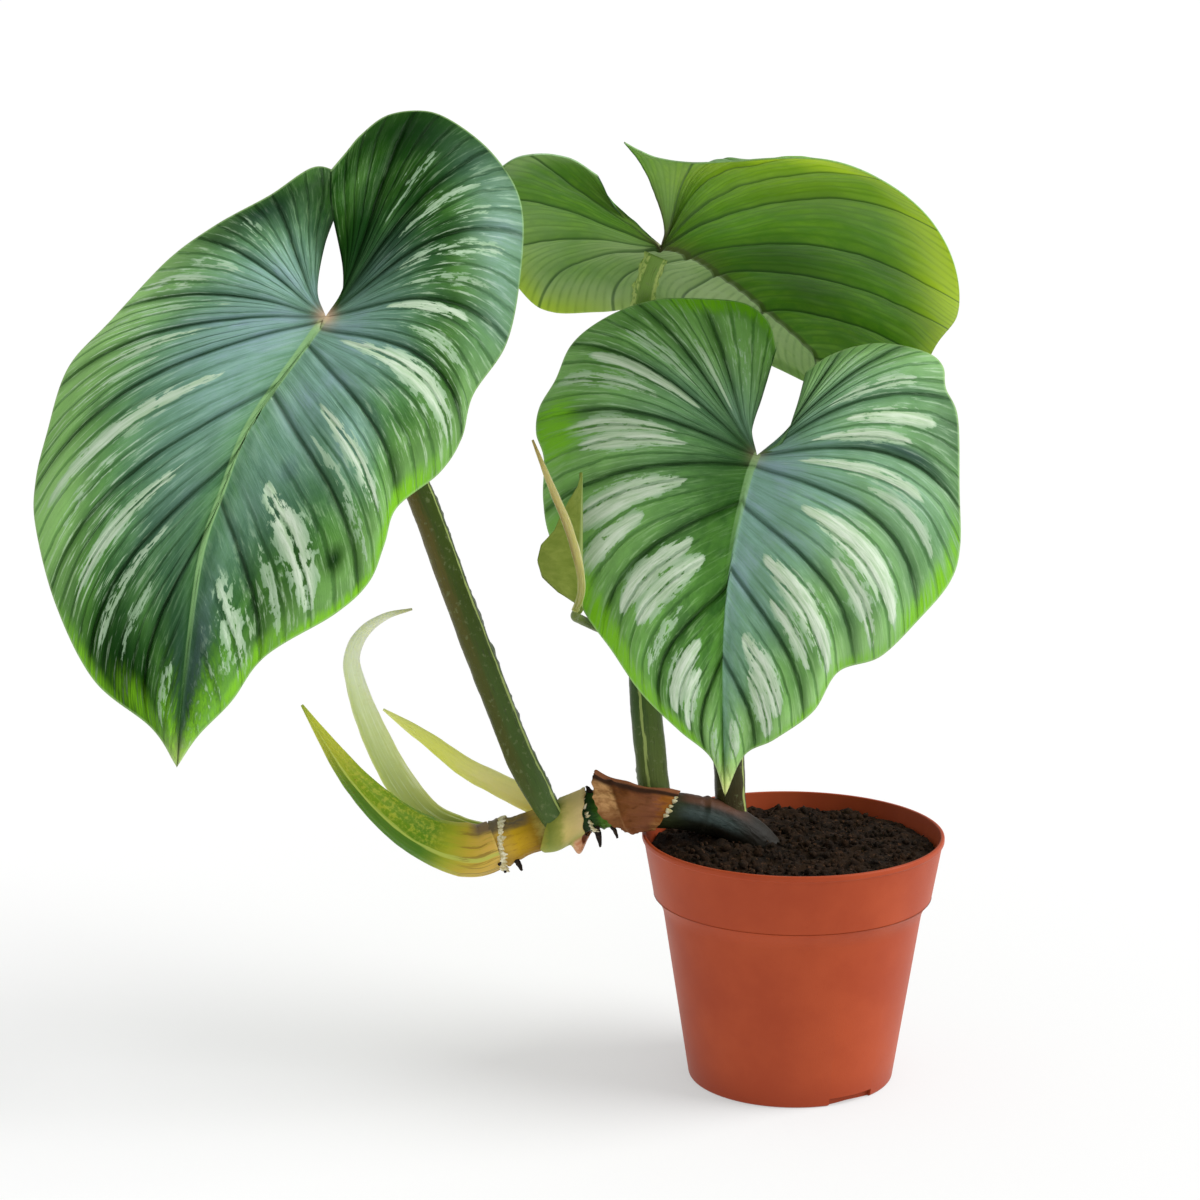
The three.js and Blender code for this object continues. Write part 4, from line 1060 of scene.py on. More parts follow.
# %% The blades' outlines
LEAVES = {
    "leaf_front": {
        "joint": (-17.5, -6, 274.8), "facing": -6, "lift": 24, "roll": -3,
        "length": 150, "half_width": 95, "arch": 20, "lobe_drop": 12, "valley": 5, "droop": 18,
        "lobe_lift": {"left": 0, "right": 0},
        "wave": (3, 7, 0.6), "pink": 0.25, "pale_tip": 1, "pale_rib": 0.2,
        "midrib": [(-3, -11), (-7, -41), (-8, -70), (-6, -103), (-2, -142)],
        "left": {
            "gap": [(-3, 10), (0, 26), (4, 48)],
            "edge": [
                (-1, 61), (-12, 69), (-31, 69), (-50, 66), (-70, 57), (-84, 46), (-90, 31), (-96, 19),
                (-96, 7), (-91, -5), (-89, -24), (-84, -41), (-68, -69), (-54, -86), (-40, -103),
                (-23, -117), (-9, -127), (-2, -142),
            ],
            "veins": [0.14, 0.22, 0.32, 0.43, 0.56, 0.74, 0.87, 0.94],
            "roots": [0.03, 0.14, 0.4, 0.6],
            "bow": [0, 0.05, 0.08, 0.14, 0.16, 0.18, 0.28, 0.32, 0.2, 0.05],
        },
        "right": {
            "gap": [(9.5, 4), (14.5, 20), (17.5, 37)],
            "edge": [
                (29, 46), (47, 53), (66, 53), (74, 48), (76, 38), (82, 25), (85, -7), (87, -30), (84, -45),
                (73, -62), (58, -80), (41, -88), (32, -105), (17, -118), (5, -125), (-2, -142),
            ],
            "veins": [0.06, 0.15, 0.27, 0.44, 0.62, 0.73, 0.84, 0.92],
            "roots": [0.03, 0.15, 0.34, 0.6],
            "bow": [0, 0.02, 0.08, 0.2, 0.32, 0.38, 0.22, 0.16, 0.15, 0.05],
        },
    },
    "leaf_left": {
        "joint": (-194, -38, 337.5), "facing": 10, "lift": 24, "roll": -18,
        "length": 195, "half_width": 110, "arch": 34, "lobe_drop": 16, "valley": 6, "droop": 26,
        "lobe_lift": {"left": -7, "right": 9},
        "wave": (3.5, 7, 1.2), "pink": 1, "pale_tip": 0.35, "pale_rib": 0.7,
        "midrib": [(-6, -17), (-18, -53), (-21, -81), (-22, -110), (-14, -164), (-9, -189)],
        "left": {
            "gap": [(-6, 10), (-8, 31), (-7, 51), (-9, 66)],
            "edge": [
                (-21, 64), (-35, 45), (-53, 25), (-68, 5), (-83, -25), (-94, -47), (-95, -74),
                (-94, -93), (-89, -111), (-73, -139), (-50, -164), (-23, -177), (-9, -189),
            ],
            "veins": [0.11, 0.22, 0.35, 0.47, 0.6, 0.73, 0.84, 0.94],
            "roots": [0.01, 0.19, 0.36, 0.5],
            "bow": [0, 0.05, 0.1, 0.14, 0.16, 0.2, 0.2, 0.22, 0.2, 0.05],
        },
        "right": {
            "gap": [(4, 8), (1, 22), (-10, 44), (-14, 59)],
            "edge": [
                (-10, 70), (-6, 81), (2, 94), (14, 99), (27, 97), (49, 85), (65, 68), (72, 40), (74, 12),
                (66, -14), (66, -33), (61, -49), (48, -68), (47, -84), (45, -100), (35, -116),
                (13, -139), (5, -159), (-4, -175), (-9, -189),
            ],
            "veins": [0.13, 0.22, 0.32, 0.43, 0.55, 0.65, 0.75, 0.87],
            "roots": [0.03, 0.07, 0.2, 0.45],
            "bow": [0, 0.05, 0.12, 0.22, 0.28, 0.42, 0.17, 0.14, 0.12, 0.05],
        },
    },
    "leaf_back": {
        "joint": (-57, 46, 356.6), "facing": 166, "lift": 49, "roll": -33,
        "length": 160, "half_width": 105, "arch": 22, "lobe_drop": 10, "valley": 4, "droop": 18,
        "lobe_lift": {"left": 0, "right": 0},
        "wave": (2.5, 6, 0.3), "pink": 0.4, "pale_tip": 0, "pale_rib": 0.6,
        "midrib": [(-7, -11), (-10, -40), (-11, -74), (-12, -110), (-16, -139)],
        "left": {
            "gap": [(-10, 9), (-23, 30), (-36, 53), (-42, 67)],
            "edge": [
                (-43, 59), (-47, 51), (-62, 45), (-97, 42), (-125, 31), (-135, 6), (-136, -22),
                (-124, -52), (-96, -86), (-67, -107), (-41, -125), (-16, -139),
            ],
            "veins": [0.1, 0.25, 0.37, 0.48, 0.65, 0.76, 0.86, 0.94],
            "roots": [0.09, 0.2, 0.41, 0.66],
            "bow": [0, 0.1, 0.2, 0.24, 0.24, 0.22, 0.2, 0.18, 0.15, 0.05],
        },
        "right": {
            "gap": [(-2, 28), (-13, 53)],
            "edge": [
                (-13, 72), (-2, 89), (22, 82), (38, 68), (66, 32), (75, 6), (72, -9), (57, -22),
                (36, -38), (22, -77), (8, -102), (-5, -122), (-16, -139),
            ],
            "veins": [0.1, 0.22, 0.38, 0.5, 0.6, 0.7, 0.81, 0.91],
            "roots": [0.09, 0.2, 0.41, 0.66],
            "bow": [0, 0.02, 0.1, 0.18, 0.26, 0.3, 0.28, 0.2, 0.15, 0.05],
        },
    },
}
print(len(LEAVES), "blades are drawn")


# %% Smooth flat lines
LINE_PIECES = 24


class FlatLine:
    """A smooth line through flat points, read by its share of length."""

    def __init__(self, points):
        points = np.array(points, float)
        ends = [2 * points[0] - points[1], *points, 2 * points[-1] - points[-2]]
        t = np.linspace(0, 1, LINE_PIECES, endpoint=False)[:, None]
        fine = []
        for p0, p1, p2, p3 in zip(ends, ends[1:], ends[2:], ends[3:]):
            fine.append(0.5 * (
                2 * p1 + (p2 - p0) * t + (2 * p0 - 5 * p1 + 4 * p2 - p3) * t**2
                + (3 * p1 - p0 - 3 * p2 + p3) * t**3
            ))
        self.points = np.vstack([*fine, points[-1]])
        steps = np.linalg.norm(np.diff(self.points, axis=0), axis=1)
        self.lengths = np.concatenate([[0], np.cumsum(steps)])

    def at(self, share):
        wanted = np.clip(share, 0, 1) * self.lengths[-1]
        columns = [np.interp(wanted, self.lengths, self.points[:, axis]) for axis in (0, 1)]
        return np.stack(columns, axis=-1)

    def distance(self, flat):
        """The shortest way from each flat point to the line."""
        nearest = np.full(flat.shape[:-1], np.inf)
        for start, end in zip(self.points[:-1:3], self.points[3::3]):
            along = end - start
            share = np.clip(((flat - start) @ along) / (along @ along), 0, 1)
            gap = flat - start - share[..., None] * along
            nearest = np.minimum(nearest, np.hypot(gap[..., 0], gap[..., 1]))
        return nearest


# %% [markdown]
# Two numbers place a point in a half blade: `place`, 0 at the lobe's inner edge and 9 at the
# tip, with a main vein at every whole number, and `reach`, 0 at the midrib and 1 at the edge.
# Veins 5 to 8 leave the midrib at the shares in roots, and the others leave the joint. Each
# vein bows on its way out, and those near the joint's gap follow the gap's own curve.

# %% From vein place and reach to a flat point
SECTORS = 9
LOBE_VEINS = 4
SIDES = ("left", "right")


def blade_lines(leaf):
    """The midrib, and each half's inner gap and outer edge."""
    lines = {"midrib": FlatLine([(0, 0), *leaf["midrib"]])}
    for side in SIDES:
        half = leaf[side]
        lines[side] = {
            "gap": FlatLine([(0, 0), *half["gap"]]),
            "edge": FlatLine([half["gap"][-1], *half["edge"]]),
        }
    return lines


def blade_point(lines, leaf, side, place, reach):
    """Flat points for arrays of places and reaches."""
    stops = [0, *leaf[side]["veins"], 1]
    starts = [0] * (LOBE_VEINS + 1) + [*leaf[side]["roots"], 1]
    foot = lines["midrib"].at(spread(starts, place / SECTORS))
    end = lines[side]["edge"].at(spread(stops, place / SECTORS))
    turn = 1 if side == "left" else -1
    bow = spread(leaf[side]["bow"], place / SECTORS)
    bend = (turn * 2 * bow * reach * (1 - reach) * (0.5 + reach))[..., None]
    across = end - foot
    sideways = np.stack([across[..., 1], -across[..., 0]], axis=-1)
    point = foot + across * reach[..., None] + sideways * bend
    follow = (np.maximum(0, 1 - place / 3.5) ** 2)[..., None]
    inner_end = lines[side]["edge"].at(0)
    inner_sideways = np.array([inner_end[1], -inner_end[0]])
    inner = lines[side]["gap"].at(reach)
    return point + follow * (inner - inner_end * reach[..., None] - inner_sideways * bend)


def blade_height(leaf, flat, side):
    """How far the blade stands out of its flat frame."""
    x, y = flat[..., 0], flat[..., 1]
    length, half_width = leaf["length"], leaf["half_width"]
    down = np.maximum(-y / length, 0)
    up = np.maximum(y / (0.5 * length), 0)
    hang = -leaf["arch"] * down**2 - leaf["lobe_drop"] * up**2 - leaf["droop"] * (x / half_width) ** 2
    rise = leaf["valley"] * (1 - hump(x, 0.16 * half_width))
    lobe = leaf["lobe_lift"][side] * smooth((y - 4) / (0.22 * length))
    middle = y + 0.25 * length
    turn = np.arctan2(x, -middle)
    reach = np.minimum(np.hypot(x / half_width, middle / (0.62 * length)), 1.2)
    height, count, phase = leaf["wave"]
    return hang + rise + lobe + height * np.sin(count * turn + phase) * reach**3


# %% [markdown]
# The relief is what makes the blade look alive. Each strip between two main veins swells, the
# veins lie in grooves, and three finer veins ripple the strip. Underneath, the same
# veins stand out as ridges and the midrib is thick.

# %% Relief of the blade
COLUMNS = 30
ROWS = 80
PUCKER = 0.1
MOST_PUCKER = 3.6
MOST_GROOVE = 1.3
GROOVE_WIDTH = 1.6
RIDGE_HEIGHT = 0.55
RIDGE_WIDTH = 1.0
SPINE_HEIGHT = 1.5
SPINE_WIDTH = 1.7
BLADE_THICKNESS = 0.75
STRIPS = 4


def blade_grid(lines, leaf, side):
    """Places, reaches, flat points and distances for one half."""
    share = np.arange(COLUMNS) / COLUMNS
    inside = share - 0.05 * np.sin(2 * math.pi * share)
    place = np.concatenate([sector + inside for sector in range(SECTORS)] + [[SECTORS]])
    place, reach = np.meshgrid(place, np.linspace(0, 1, ROWS + 1), indexing="ij")
    flat = blade_point(lines, leaf, side, place, reach)
    veins = flat[::COLUMNS]
    widths = np.linalg.norm(np.diff(veins, axis=0), axis=-1)
    sector = np.minimum(place[:, 0].astype(int), SECTORS - 1)
    fraction = place - sector[:, None]
    vein = np.minimum(fraction, 1 - fraction) * widths[sector]
    rib = lines["midrib"].distance(flat)
    margin = lines[side]["edge"].distance(flat)
    return {
        "place": place, "reach": reach, "flat": flat, "fraction": fraction,
        "vein": vein, "rib": rib, "margin": margin, "width": widths[sector],
    }


def blade_relief(grid, leaf, side):
    """Heights of the upper and the lower layer."""
    fraction, reach = grid["fraction"], grid["reach"]
    base = blade_height(leaf, grid["flat"], side)
    swell = np.minimum(MOST_PUCKER, PUCKER * grid["width"])
    rise = np.sin(math.pi * np.minimum(reach, 0.5 + 0.7 * (reach - 0.5)))
    swell = swell * np.sin(math.pi * fraction) * rise
    spot = np.concatenate([grid["flat"], base[..., None]], axis=-1)
    uneven = 0.7 * lumps(spot, 16, 9) + 0.25 * lumps(spot, 5, 10)
    fade = smooth((1.02 - reach) * 6)
    depth = np.minimum(MOST_GROOVE, 0.1 * grid["width"]) * (1 - 0.55 * reach)
    off_gap = smooth(grid["place"] * 2)
    groove = depth * hump(grid["vein"], GROOVE_WIDTH) * fade * off_gap
    ripple = np.minimum(0.5, 0.025 * grid["width"]) * np.abs(np.sin(STRIPS * math.pi * fraction))
    along_rib = np.clip(-grid["flat"][..., 1] / leaf["length"], 0, 1)
    rib_groove = (1.2 * hump(grid["rib"], 4) - 0.9 * hump(grid["rib"], 1.3)) * smooth(along_rib * 12)
    upper = base + (swell + uneven * smooth(reach * 5)) * fade + ripple * fade - groove - rib_groove
    ridge = RIDGE_HEIGHT * hump(grid["vein"], RIDGE_WIDTH) * (1 - 0.6 * reach) * fade * off_gap
    spine = SPINE_HEIGHT * hump(grid["rib"], SPINE_WIDTH) * (1 - 0.75 * along_rib)
    return upper, upper - BLADE_THICKNESS - ridge - spine


# %% [markdown]
# The markings need smooth guides: where silver patches lie, where a blue sheen is painted as a
# reflection, and which parts are darker, lighter or yellower; the darker and lighter parts are
# partly the leaf's own tone and partly painted shade and light. They are written as short lists
# of patches in vein places, and the finish breaks their edges up with fibres along the veins.

# %% Where the markings lie
# Each silver patch: vein place, first and last reach, half width in vein places, strength
SILVER = {
    "leaf_front": {
        "left": [
            (0.7, 0.4, 0.7, 0.2, 0.45), (1.6, 0.3, 0.66, 0.2, 0.7), (2.5, 0.4, 0.85, 0.25, 0.6),
            (3.15, 0.35, 0.85, 0.2, 0.9), (3.5, 0.5, 0.95, 0.2, 0.7), (4.25, 0.4, 0.85, 0.2, 0.85),
            (4.5, 0.35, 0.8, 0.2, 0.9), (5.3, 0.32, 0.85, 0.22, 1), (5.62, 0.55, 0.88, 0.16, 0.9),
            (6.22, 0.3, 0.78, 0.22, 0.95), (6.5, 0.22, 0.7, 0.2, 0.95), (6.85, 0.36, 0.82, 0.12, 0.6),
            (7.4, 0.32, 0.85, 0.28, 0.95), (7.7, 0.4, 0.88, 0.18, 0.9), (8.4, 0.4, 0.8, 0.3, 0.6),
        ],
        "right": [
            (1.5, 0.4, 0.9, 0.3, 0.45), (2.75, 0.45, 0.85, 0.25, 0.7), (3.35, 0.5, 0.85, 0.22, 0.85),
            (3.7, 0.3, 0.72, 0.16, 0.9), (4.4, 0.22, 0.72, 0.2, 0.8), (4.68, 0.52, 0.85, 0.14, 0.7),
            (5.42, 0.3, 0.9, 0.24, 0.95), (5.75, 0.55, 0.92, 0.15, 0.85), (6.42, 0.25, 0.92, 0.26, 0.95),
            (6.8, 0.38, 0.76, 0.15, 0.85), (7.5, 0.26, 0.85, 0.26, 0.95), (7.75, 0.42, 0.93, 0.2, 0.95),
            (8.4, 0.35, 0.8, 0.3, 0.7),
        ],
    },
    "leaf_left": {
        "left": [
            (1.5, 0.62, 0.88, 0.18, 0.45), (2.4, 0.56, 0.84, 0.18, 0.5), (2.75, 0.68, 0.92, 0.2, 0.65),
            (3.4, 0.45, 0.88, 0.22, 0.5), (4.25, 0.42, 0.74, 0.16, 0.7), (4.6, 0.56, 0.84, 0.12, 0.6),
            (5.4, 0.28, 0.9, 0.17, 0.72), (5.75, 0.56, 0.92, 0.13, 0.55), (6.5, 0.32, 0.88, 0.17, 0.75),
            (7.15, 0.38, 0.84, 0.15, 0.65), (7.55, 0.5, 0.84, 0.13, 0.5), (8.4, 0.45, 0.84, 0.18, 0.55),
        ],
        "right": [
            (1.6, 0.48, 0.78, 0.14, 0.45), (2.35, 0.46, 0.84, 0.17, 0.55), (2.75, 0.66, 0.92, 0.13, 0.5),
            (3.25, 0.38, 0.92, 0.17, 0.6), (3.7, 0.42, 0.84, 0.13, 0.55), (4.15, 0.36, 0.74, 0.18, 0.75),
            (4.6, 0.46, 0.88, 0.13, 0.55), (5.25, 0.16, 0.92, 0.22, 0.78), (6.5, 0.27, 0.82, 0.17, 0.8),
            (6.86, 0.3, 0.9, 0.12, 0.55), (7.5, 0.27, 0.9, 0.19, 0.85), (7.8, 0.42, 0.92, 0.12, 0.6),
            (8.22, 0.26, 0.88, 0.16, 0.68),
        ],
    },
}
SILVER["leaf_back"] = SILVER["leaf_front"]

# Each tone: kind, vein place, reach, half width in vein places, half width in reach, strength
# On the upper face the sheen tone is a painted blue reflection. The dark and light tones are partly the
# leaf's own colour and partly painted shade and light.
TONES = {
    "leaf_front": {
        "left": [
            ("dark", 5, 0.1, 3, 0.16, 0.6), ("dark", 0.1, 0.4, 0.5, 0.3, 0.4),
            ("light", 1.2, 0.6, 1.8, 0.6, 0.6), ("light", 4.5, 0.75, 3, 0.5, 0.5),
            ("light", 5, 1, 4, 0.16, 0.7), ("light", 8.6, 0.7, 0.8, 0.5, 1),
            ("painted_sheen", 3, 0.4, 2, 0.3, 0.25), ("painted_sheen", 1.2, 0.2, 1.2, 0.3, 0.4),
            ("yellow", 0.9, 0.97, 1.1, 0.1, 0.9), ("yellow", 4.2, 0.93, 0.5, 0.14, 1),
            ("yellow", 6.2, 0.97, 1.2, 0.12, 1), ("yellow", 7.4, 0.99, 0.9, 0.1, 1),
            ("yellow", 9, 0.6, 0.5, 0.8, 0.7), ("streak", 2, 0.7, 1.6, 0.3, 0.6),
        ],
        "right": [
            ("dark", 3.88, 0.68, 0.12, 0.3, 1), ("dark", 3.4, 0.95, 0.45, 0.14, 0.5),
            ("light", 1.2, 0.8, 1.6, 0.55, 1), ("light", 4.5, 0.6, 4.5, 0.5, 0.45),
            ("light", 6.5, 0.95, 2.2, 0.16, 0.9), ("light", 8.6, 0.7, 0.9, 0.5, 1),
            ("painted_sheen", 5.5, 0.1, 3.5, 0.24, 0.9), ("painted_sheen", 5.5, 0.28, 3.5, 0.25, 0.7),
            ("painted_sheen", 4.4, 0.55, 0.6, 0.4, 0.55), ("painted_sheen", 3, 0.5, 3, 0.5, 0.35),
            ("yellow", 4.8, 0.98, 0.8, 0.08, 0.9), ("yellow", 6.6, 0.99, 2, 0.05, 0.7),
            ("yellow", 9, 0.6, 0.45, 0.8, 0.7), ("streak", 2.5, 0.7, 1.6, 0.3, 0.7),
        ],
    },
    "leaf_left": {
        "left": [
            ("dark", 1.2, 0.9, 1.1, 0.2, 1), ("dark", 7.6, 0.85, 0.9, 0.35, 1),
            ("dark", 7.9, 0.35, 0.8, 0.5, 0.7), ("dark", 8.5, 0.3, 0.6, 0.5, 1),
            ("dark", 6.9, 0.35, 0.5, 0.3, 0.6), ("light", 3.6, 0.9, 1.4, 0.28, 0.8),
            ("light", 3.2, 0.97, 1.6, 0.16, 1), ("light", 5.4, 0.92, 0.9, 0.2, 0.8),
            ("painted_sheen", 4.4, 0.25, 2.5, 0.32, 1), ("painted_sheen", 2, 0.35, 2, 0.35, 0.8),
            ("painted_sheen", 1, 0.08, 2, 0.25, 1), ("streak", 3.4, 0.7, 1.6, 0.35, 1),
            ("streak", 6, 0.68, 1.6, 0.3, 0.9), ("yellow", 7, 1, 0.9, 0.07, 0.8),
            ("yellow", 9, 0.75, 0.8, 0.6, 0.75), ("yellow", 8, 0.94, 0.7, 0.14, 0.7),
        ],
        "right": [
            ("dark", 0.6, 0.35, 1.7, 0.5, 1), ("dark", 1.1, 0.88, 1.7, 0.3, 1),
            ("dark", 2.3, 0.35, 1, 0.45, 1), ("dark", 1.7, 0.65, 1, 0.4, 0.9),
            ("dark", 3, 0.45, 1, 0.5, 0.75), ("dark", 4.6, 0.45, 1.3, 0.5, 0.45),
            ("dark", 7.6, 0.4, 0.7, 0.5, 0.6), ("dark", 7.25, 0.3, 0.16, 0.07, 1),
            ("dark", 7.2, 0.78, 0.14, 0.07, 1), ("dark", 6.5, 0.2, 0.5, 0.2, 0.5),
            ("dark", 8.6, 0.25, 0.6, 0.4, 1), ("light", 6.4, 0.9, 2, 0.18, 0.5),
            ("light", 5, 0.95, 1, 0.12, 0.6), ("light", 3.4, 0.9, 0.8, 0.2, 0.4),
            ("painted_sheen", 5.5, 0.2, 2.5, 0.28, 0.8), ("painted_sheen", 6.4, 0.45, 0.5, 0.2, 0.8),
            ("painted_sheen", 3.2, 0.92, 1, 0.15, 0.6), ("streak", 3.4, 0.7, 1.2, 0.35, 0.8),
            ("streak", 5, 0.7, 1.2, 0.3, 0.9), ("streak", 8.2, 0.7, 0.8, 0.35, 0.7),
            ("yellow", 6.1, 0.97, 0.9, 0.08, 1), ("yellow", 7.2, 0.99, 1.2, 0.05, 0.9),
            ("yellow", 9, 0.75, 0.8, 0.6, 0.75), ("yellow", 8.2, 0.95, 0.7, 0.12, 0.8),
        ],
    },
    "leaf_back": {
        "left": [
            ("yellow", 2.4, 0.92, 1, 0.14, 1), ("yellow", 5, 1, 2.6, 0.08, 0.9),
            ("yellow", 3.4, 1, 1.4, 0.12, 0.6), ("yellow", 1.9, 0.75, 1.2, 0.3, 0.5),
            ("yellow", 3, 0.7, 1.2, 0.4, 0.25), ("yellow", 4.9, 1, 1.6, 0.14, 1),
            ("deep", 5.6, 0.3, 0.8, 0.35, 1), ("deep", 5.3, 0.7, 0.6, 0.25, 0.7),
            ("deep", 4.2, 0.6, 0.8, 0.3, 0.45), ("deep", 6.5, 0.32, 0.6, 0.25, 0.9),
            ("deep", 6.2, 0.75, 0.25, 0.2, 0.5), ("deep", 3, 0.15, 3, 0.1, 0.4),
            ("deep", 7.5, 0.4, 1, 0.4, 0.35), ("deep", 1.2, 0.25, 1, 0.25, 0.25),
            ("painted_sheen", 0.6, 0.4, 0.8, 0.6, 0.35), ("painted_sheen", 8.6, 0.2, 0.6, 0.5, 0.6),
            ("brown", 0, 0.05, 2.2, 0.2, 1), ("brown", 3, 0, 3, 0.07, 0.7),
            ("brown", 0, 0.25, 0.35, 0.3, 0.7),
        ],
        "right": [
            ("yellow", 4.1, 1, 0.9, 0.1, 0.9), ("yellow", 3.2, 1, 0.8, 0.14, 0.5),
            ("painted_sheen", 4.6, 0.15, 1.8, 0.45, 1), ("painted_sheen", 6.5, 0.5, 2, 0.8, 1),
            ("painted_sheen", 3.5, 0.8, 1.3, 0.4, 0.5), ("painted_sheen", 1, 1, 1.5, 0.12, 0.5),
            ("painted_sheen", 4.8, 0.95, 1.8, 0.25, 1), ("deep", 0.6, 0.5, 0.9, 0.6, 0.65),
            ("brown", 0, 0.1, 0.8, 0.45, 1), ("brown", 1, 0, 1.2, 0.14, 0.9),
            ("brown", 0, 0.4, 0.4, 0.3, 0.7),
        ],
    },
}
TONE_KINDS = ("brown", "dark", "deep", "light", "painted_sheen", "streak", "yellow")
# The mesh's map holds the left half's vein places from 0, and the right half's from 10, of 20
MAP_PLACES = 20
MAP_SHIFT = {"left": 0, "right": 10}


def patch_field(patches, place, reach):
    """The strongest patch at each point, fading toward its ends and sides."""
    field = np.zeros_like(reach)
    for centre, first, last, width, strength in patches:
        share = np.clip((reach - first + 0.06) / (last - first + 0.12), 0, 1)
        taper = np.sin(math.pi * share) ** 0.7 + 0.01
        sides = np.clip(1.3 - np.abs(place - centre) / (1.1 * width * taper), 0, 1)
        field = np.maximum(field, strength * sides * smooth(taper * 2.5))
    return field


def tone_field(kind, tones, place, reach):
    """The strongest tone of one kind at each point."""
    field = np.zeros_like(reach)
    for found, centre, middle, width, depth, strength in tones:
        if found == kind:
            field = np.maximum(field, strength * hump(place - centre, width) * hump(reach - middle, depth))
    return field


# %% [markdown]
# The finish of the upper face stacks thin layers of colour, as paint: green, whose lighter and
# darker parts are partly painted light and shade, with painted shade in the vein grooves; pale
# hairs along the veins; a blue sheen painted as a reflection; torn silver patches; dark veins
# that are partly painted groove shadow; and a yellow-green edge. Every layer follows the veins,
# because the noise is laid out in vein places and reach.

# %% The upper face's green, hairs and painted blue reflection
def vein_space(tree):
    """The vein place and the reach, read from the mesh's map."""
    spot = tree.node("ShaderNodeUVMap", uv_map="vein_space").outputs[0]
    split = tree.node("ShaderNodeSeparateXYZ", {0: spot}).outputs
    return tree.times(split["X"], float(MAP_PLACES)), split["Y"]


tree, shader, blade_upper = new_finish("silver marked blade", 0.36)
place, reach = vein_space(tree)
broad = growth(tree, (place, 2.2), (reach, 4.0), 4.0)
hair = growth(tree, (place, 22.0), (reach, 5.0), 7.0)
tear = growth(tree, (place, 13.0), (reach, 13.0), 1.0)

# Green, from the darkest to the lightest part. The light and dark tones are partly the leaf's
# own colour and partly painted light and shade, and the green darkens toward the main veins
# as painted shade in their grooves
green = tree.mix(tree.step(broad, 0.36, 0.66), linear(40, 102, 12), linear(90, 154, 48))
green = tree.mix(tree.field("light"), green, linear(160, 212, 124))
painted_groove_shade = tree.times(tree.step(tree.field("vein"), 6.0, 0.8), 0.45)
green = tree.mix(painted_groove_shade, green, linear(20, 72, 6))
green = tree.mix(tree.field("dark"), green, linear(10, 52, 0))

# Pale hairs, and a blue sheen painted as a reflection
open_part = tree.step(reach, 0.12, 0.5, 0.25, 0.6)
calm = tree.minus(1.0, tree.field("dark"))
hairs = tree.times(tree.step(hair, 0.5, 0.66), tree.times(calm, open_part))
green = tree.mix(hairs, green, linear(156, 200, 130))
pale = tree.times(tree.step(hair, 0.54, 0.62), tree.times(tree.field("streak"), 0.75))
green = tree.mix(tree.times(pale, tree.step(tear, 0.35, 0.55)), green, linear(206, 228, 200))
painted_sheen = tree.times(tree.field("painted_sheen"), tree.step(hair, 0.3, 0.6, 0.62, 0.95))
blue = tree.mix(tree.step(broad, 0.4, 0.65), linear(142, 184, 174), linear(150, 178, 194))
green = tree.mix(painted_sheen, green, blue)
print("green, pale hairs and a blue sheen")

# %% The upper face's silver and veins
# Finer veins between the main ones
strip = tree.stray(tree.times(place, float(STRIPS)), broad, 0.5)
fine_vein = tree.step(tree.math("PINGPONG", strip, 0.5), 0.13, 0.03)
fine_vein = tree.times(fine_vein, tree.step(reach, 0.05, 0.4))

# Silver, torn along the growth and cut by the finer veins
torn = tree.times(tree.field("silver"), 1.5)
for fibre, strength in ((tear, 2.6), (hair, 2.0), (broad, 1.4)):
    torn = tree.stray(torn, fibre, strength)
torn = tree.minus(torn, tree.times(fine_vein, 0.5))
silver = tree.step(torn, 0.66, 0.84)
shine = tree.times(silver, tree.step(tree.field("silver"), 0.1, 1.0, 0.4, 0.95))
silver_tone = tree.mix(tree.step(hair, 0.35, 0.65), linear(186, 214, 174), linear(226, 240, 218))
faint = tree.step(tree.field("silver"), 0.9, 0.4, 0.0, 0.8)
silver_tone = tree.mix(faint, silver_tone, linear(158, 196, 156))
green = tree.mix(shine, green, silver_tone)
green = tree.mix(tree.times(fine_vein, 0.6), green, linear(120, 160, 120), "MULTIPLY")
# The dark vein lines are partly the veins' own darker green and partly painted shadow in their grooves
fade = tree.step(reach, 0.5, 1.0, 0.6, 0.25)
vein_line = tree.times(tree.step(tree.field("vein"), 1.7, 0.2), fade)
green = tree.mix(vein_line, green, linear(104, 142, 98), "MULTIPLY")
print("silver patches and dark veins")

# %% The upper face's edge, midrib and joint
edge = tree.times(tree.field("yellow"), tree.step(hair, 0.3, 0.7, 1.25, 0.6))
green = tree.mix(tree.step(edge, 0.2, 1.0), green, linear(128, 200, 30))
pale_edge = tree.times(tree.step(tree.field("margin"), 0.9, 0.2), 0.5)
green = tree.mix(pale_edge, green, linear(176, 214, 140))
green = tree.mix(tree.field("tip"), green, linear(226, 234, 150))
rib_line = tree.times(tree.step(tree.field("rib"), 1.2, 0.7), tree.field("pale_rib"))
green = tree.mix(rib_line, green, linear(140, 184, 120))
green = tree.mix(tree.times(tree.field("joint"), 0.85), green, linear(226, 190, 160))
tree.put(shader.inputs["Roughness"], tree.step(silver, 0.0, 1.0, 0.38, 0.5))
tree.put(shader.inputs["Specular IOR Level"], tree.step(tree.field("dark"), 0.0, 1.0, 0.24, 0.05))
set_skin(tree, shader, green, tree.minus(hair, tree.times(fine_vein, 0.6)), 0.5)
print("upper face:", blade_upper.name)

# %% [markdown]
# The lower face is plainer: leaf green with a deep green tone in places, a pale grey-green
# tone that is partly the underside's own colour and partly painted reflection, a yellow-green
# edge, and raised main veins that look darker.

